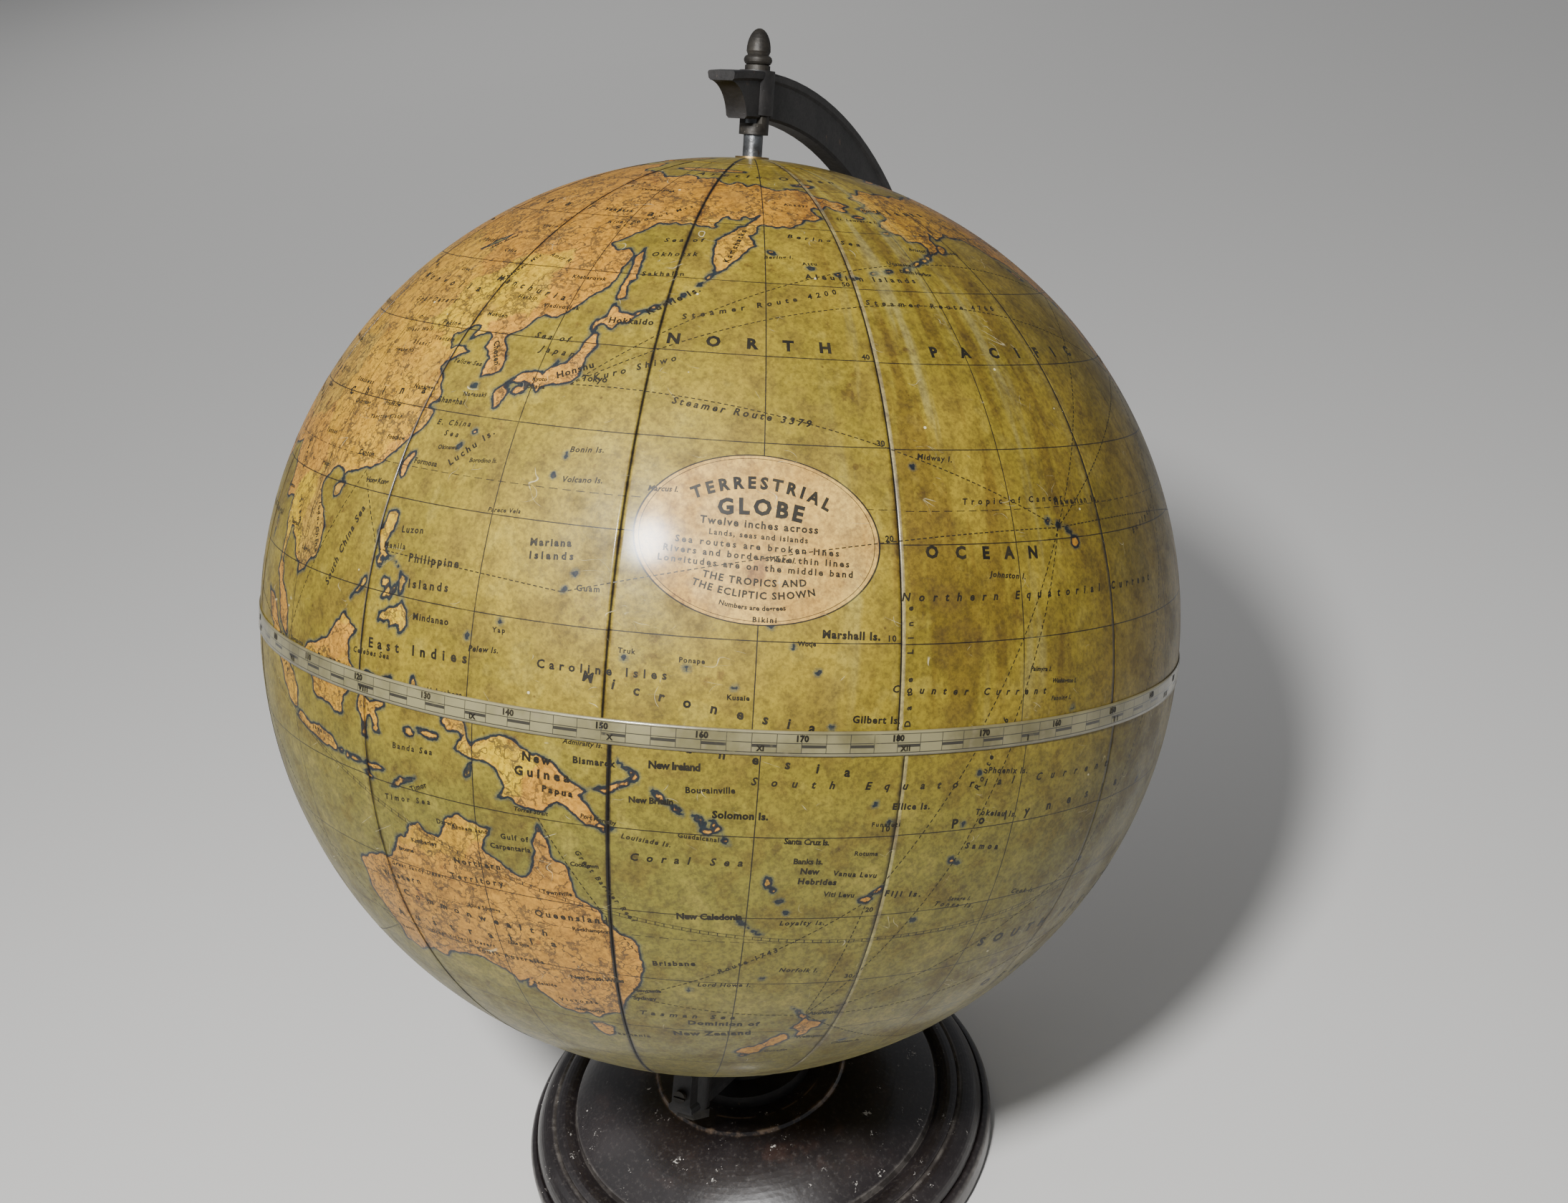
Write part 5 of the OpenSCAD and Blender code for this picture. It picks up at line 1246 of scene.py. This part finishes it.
def worn_metal(name, dark, light, bare, bare_share, rough, metallic=0.0, size=7.0):
    """A dark skin with mottling, rubbed through to a brighter metal in places."""
    f = Finish(name)
    mottle = f.noise(size * MM, 6, 0.65)
    fine = f.noise(size * 0.18 * MM, 4, 0.7)
    rubbed = f.noise(size * 0.7 * MM, 5, 0.7, place=f.stretch((1, 1, 1.6), at=(.1, .4, .2)))
    worn = rubbed.ramp(0.70 - bare_share, 0.78 - bare_share)
    colour = f.mix(mottle.ramp(0.3, 0.7), dark, light)
    colour = f.mix(worn, colour, bare)
    colour = f.mix(fine.ramp(0.5, 0.75) * 0.35, colour, dark)
    pits = f.specks(1.7 * MM, 0.35, 0.22)
    colour = f.mix(pits * 0.5, colour, light)
    return f.wear(colour, (fine * 0.25 + (rough - 0.1)) + worn * 0.06,
                  fine * 0.7 + mottle * 1.2 - worn * 0.5 - pits * 0.4, 0.10 * MM, metallic=metallic)


def plain(name, colour, second, size, rough, stretched=(1, 1, 1), metallic=0.0, depth=0.08):
    """Two colours clouded together, for cloth, wood and metal that is mostly hidden."""
    f = Finish(name)
    cloud = f.noise(size * MM, 5, 0.6, place=f.stretch(stretched))
    return f.wear(f.mix(cloud.ramp(0.3, 0.7), colour, second), rough + 0.12 * cloud,
                  cloud + f.noise(size * 0.2 * MM, 3) * 0.4, depth * MM, metallic=metallic)


FINISHES = {
    "ebonised_wood": ebonised("ebonised_wood"),
    "japanned_iron": worn_metal("japanned_iron", (.007, .0065, .0065), (.020, .018, .017),
                                (.085, .055, .038), .06, .50),
    "dull_metal": worn_metal("dull_metal", (.013, .011, .009), (.038, .033, .026),
                             (.17, .145, .115), .06, .50, .40, 4),
    "axle_steel": worn_metal("axle_steel", (.07, .07, .07), (.17, .18, .19),
                             (.07, .045, .03), .06, .34, .85, 5),
    "pole_brass": plain("pole_brass", (.38, .26, .10), (.20, .14, .07), 4, .34, metallic=.95),
    "dark_steel": plain("dark_steel", (.10, .10, .10), (.04, .035, .03), 5, .42, metallic=.8),
    "ballast_iron": plain("ballast_iron", (.06, .05, .045), (.11, .055, .03), 8, .62, metallic=.5),
    "baize": plain("baize", (.020, .060, .028), (.030, .085, .040), 1.2, .85, depth=.25),
    "inner_wood": plain("inner_wood", (.42, .27, .13), (.28, .16, .07), 9, .6, stretched=(1, 1, 7)),
    "plastered_shell": plain("plastered_shell", (.62, .58, .49), (.50, .45, .36), 12, .8),
    "map_paper": MAP_PAPER,
    "tape_paper": tape.data.materials[0],
}
slots = {part["node"]: part["material_slot"] for part in frame["record"]["subparts"]}
for node, piece in frame["nodes"].items():
    piece.data.materials.clear()
    piece.data.materials.append(FINISHES[slots[node]])
print(len(slots), "nodes finished")

# %% [markdown]
# ## Floor and lights
# The floor is plain and pale. A small lamp is the main light and makes the glint on the
# varnish, a wide lamp fills the shadows and a third lights the ball from behind.

# %% Floor and lights
nothing_selected()
bpy.ops.mesh.primitive_plane_add(size=60)
floor = bpy.context.object
floor.name = "floor"
pale = Finish("pale_floor")
floor.data.materials.append(pale.wear((.62, .61, .59, 1), 0.55))
world = bpy.data.worlds.new("studio")
bpy.context.scene.world = world
world.use_nodes = True
world.node_tree.nodes["Background"].inputs["Color"].default_value = (.86, .88, .92, 1)
world.node_tree.nodes["Background"].inputs["Strength"].default_value = 0.24


def area_light(name, place, aim, size, power, glints=True):
    """A round lamp; without glints it lights a surface and isn't mirrored in it."""
    lamp = bpy.data.lights.new(name, "AREA")
    lamp.shape, lamp.size, lamp.energy = "DISK", size, power
    made = bpy.data.objects.new(name, lamp)
    bpy.context.collection.objects.link(made)
    made.location = place
    made.rotation_euler = (Vector(aim) - Vector(place)).to_track_quat("-Z", "Y").to_euler()
    made.visible_glossy = glints


SHINE = Vector((0.0483, -0.0722, 0.3181))        # where the light glances off the varnish
area_light("key", SHINE + Vector((0.117, -0.621, 0.775)) * 0.70, SHINE, 0.11, 15)
area_light("fill", (-1.5, -0.6, 1.4), CENTRE, 1.6, 4)
area_light("back", (-1.1, 1.5, 1.2), CENTRE, 1.4, 9, glints=False)
print(len(bpy.data.lights), "lamps")

# %% [markdown]
# ## Camera
# It looks down on the title from the front right, a little rolled.

# %% Camera
VIEW_DISTANCE = 0.650
VIEW_AZIMUTH, VIEW_ELEVATION = math.radians(33.0), math.radians(32.7)
VIEW_AIM = Vector((0.0175, 0.0118, 0.0018))
VIEW_ROLL = math.radians(8.13)
LENS = 43.76
camera = bpy.data.objects.new("camera", bpy.data.cameras.new("camera"))
bpy.context.collection.objects.link(camera)
bpy.context.scene.camera = camera
camera.data.lens, camera.data.sensor_width = LENS, 36
back = Vector((math.sin(VIEW_AZIMUTH) * math.cos(VIEW_ELEVATION),
               -math.cos(VIEW_AZIMUTH) * math.cos(VIEW_ELEVATION), math.sin(VIEW_ELEVATION)))
camera.location = CENTRE + back * VIEW_DISTANCE
look = (CENTRE + VIEW_AIM - camera.location).to_track_quat("-Z", "Y").to_matrix()
camera.rotation_euler = (look @ Matrix.Rotation(-VIEW_ROLL, 3, "Z")).to_euler()
camera.data.clip_start, camera.data.clip_end = 0.02, 30
print("camera at", [round(v / MM) for v in camera.location], "mm")
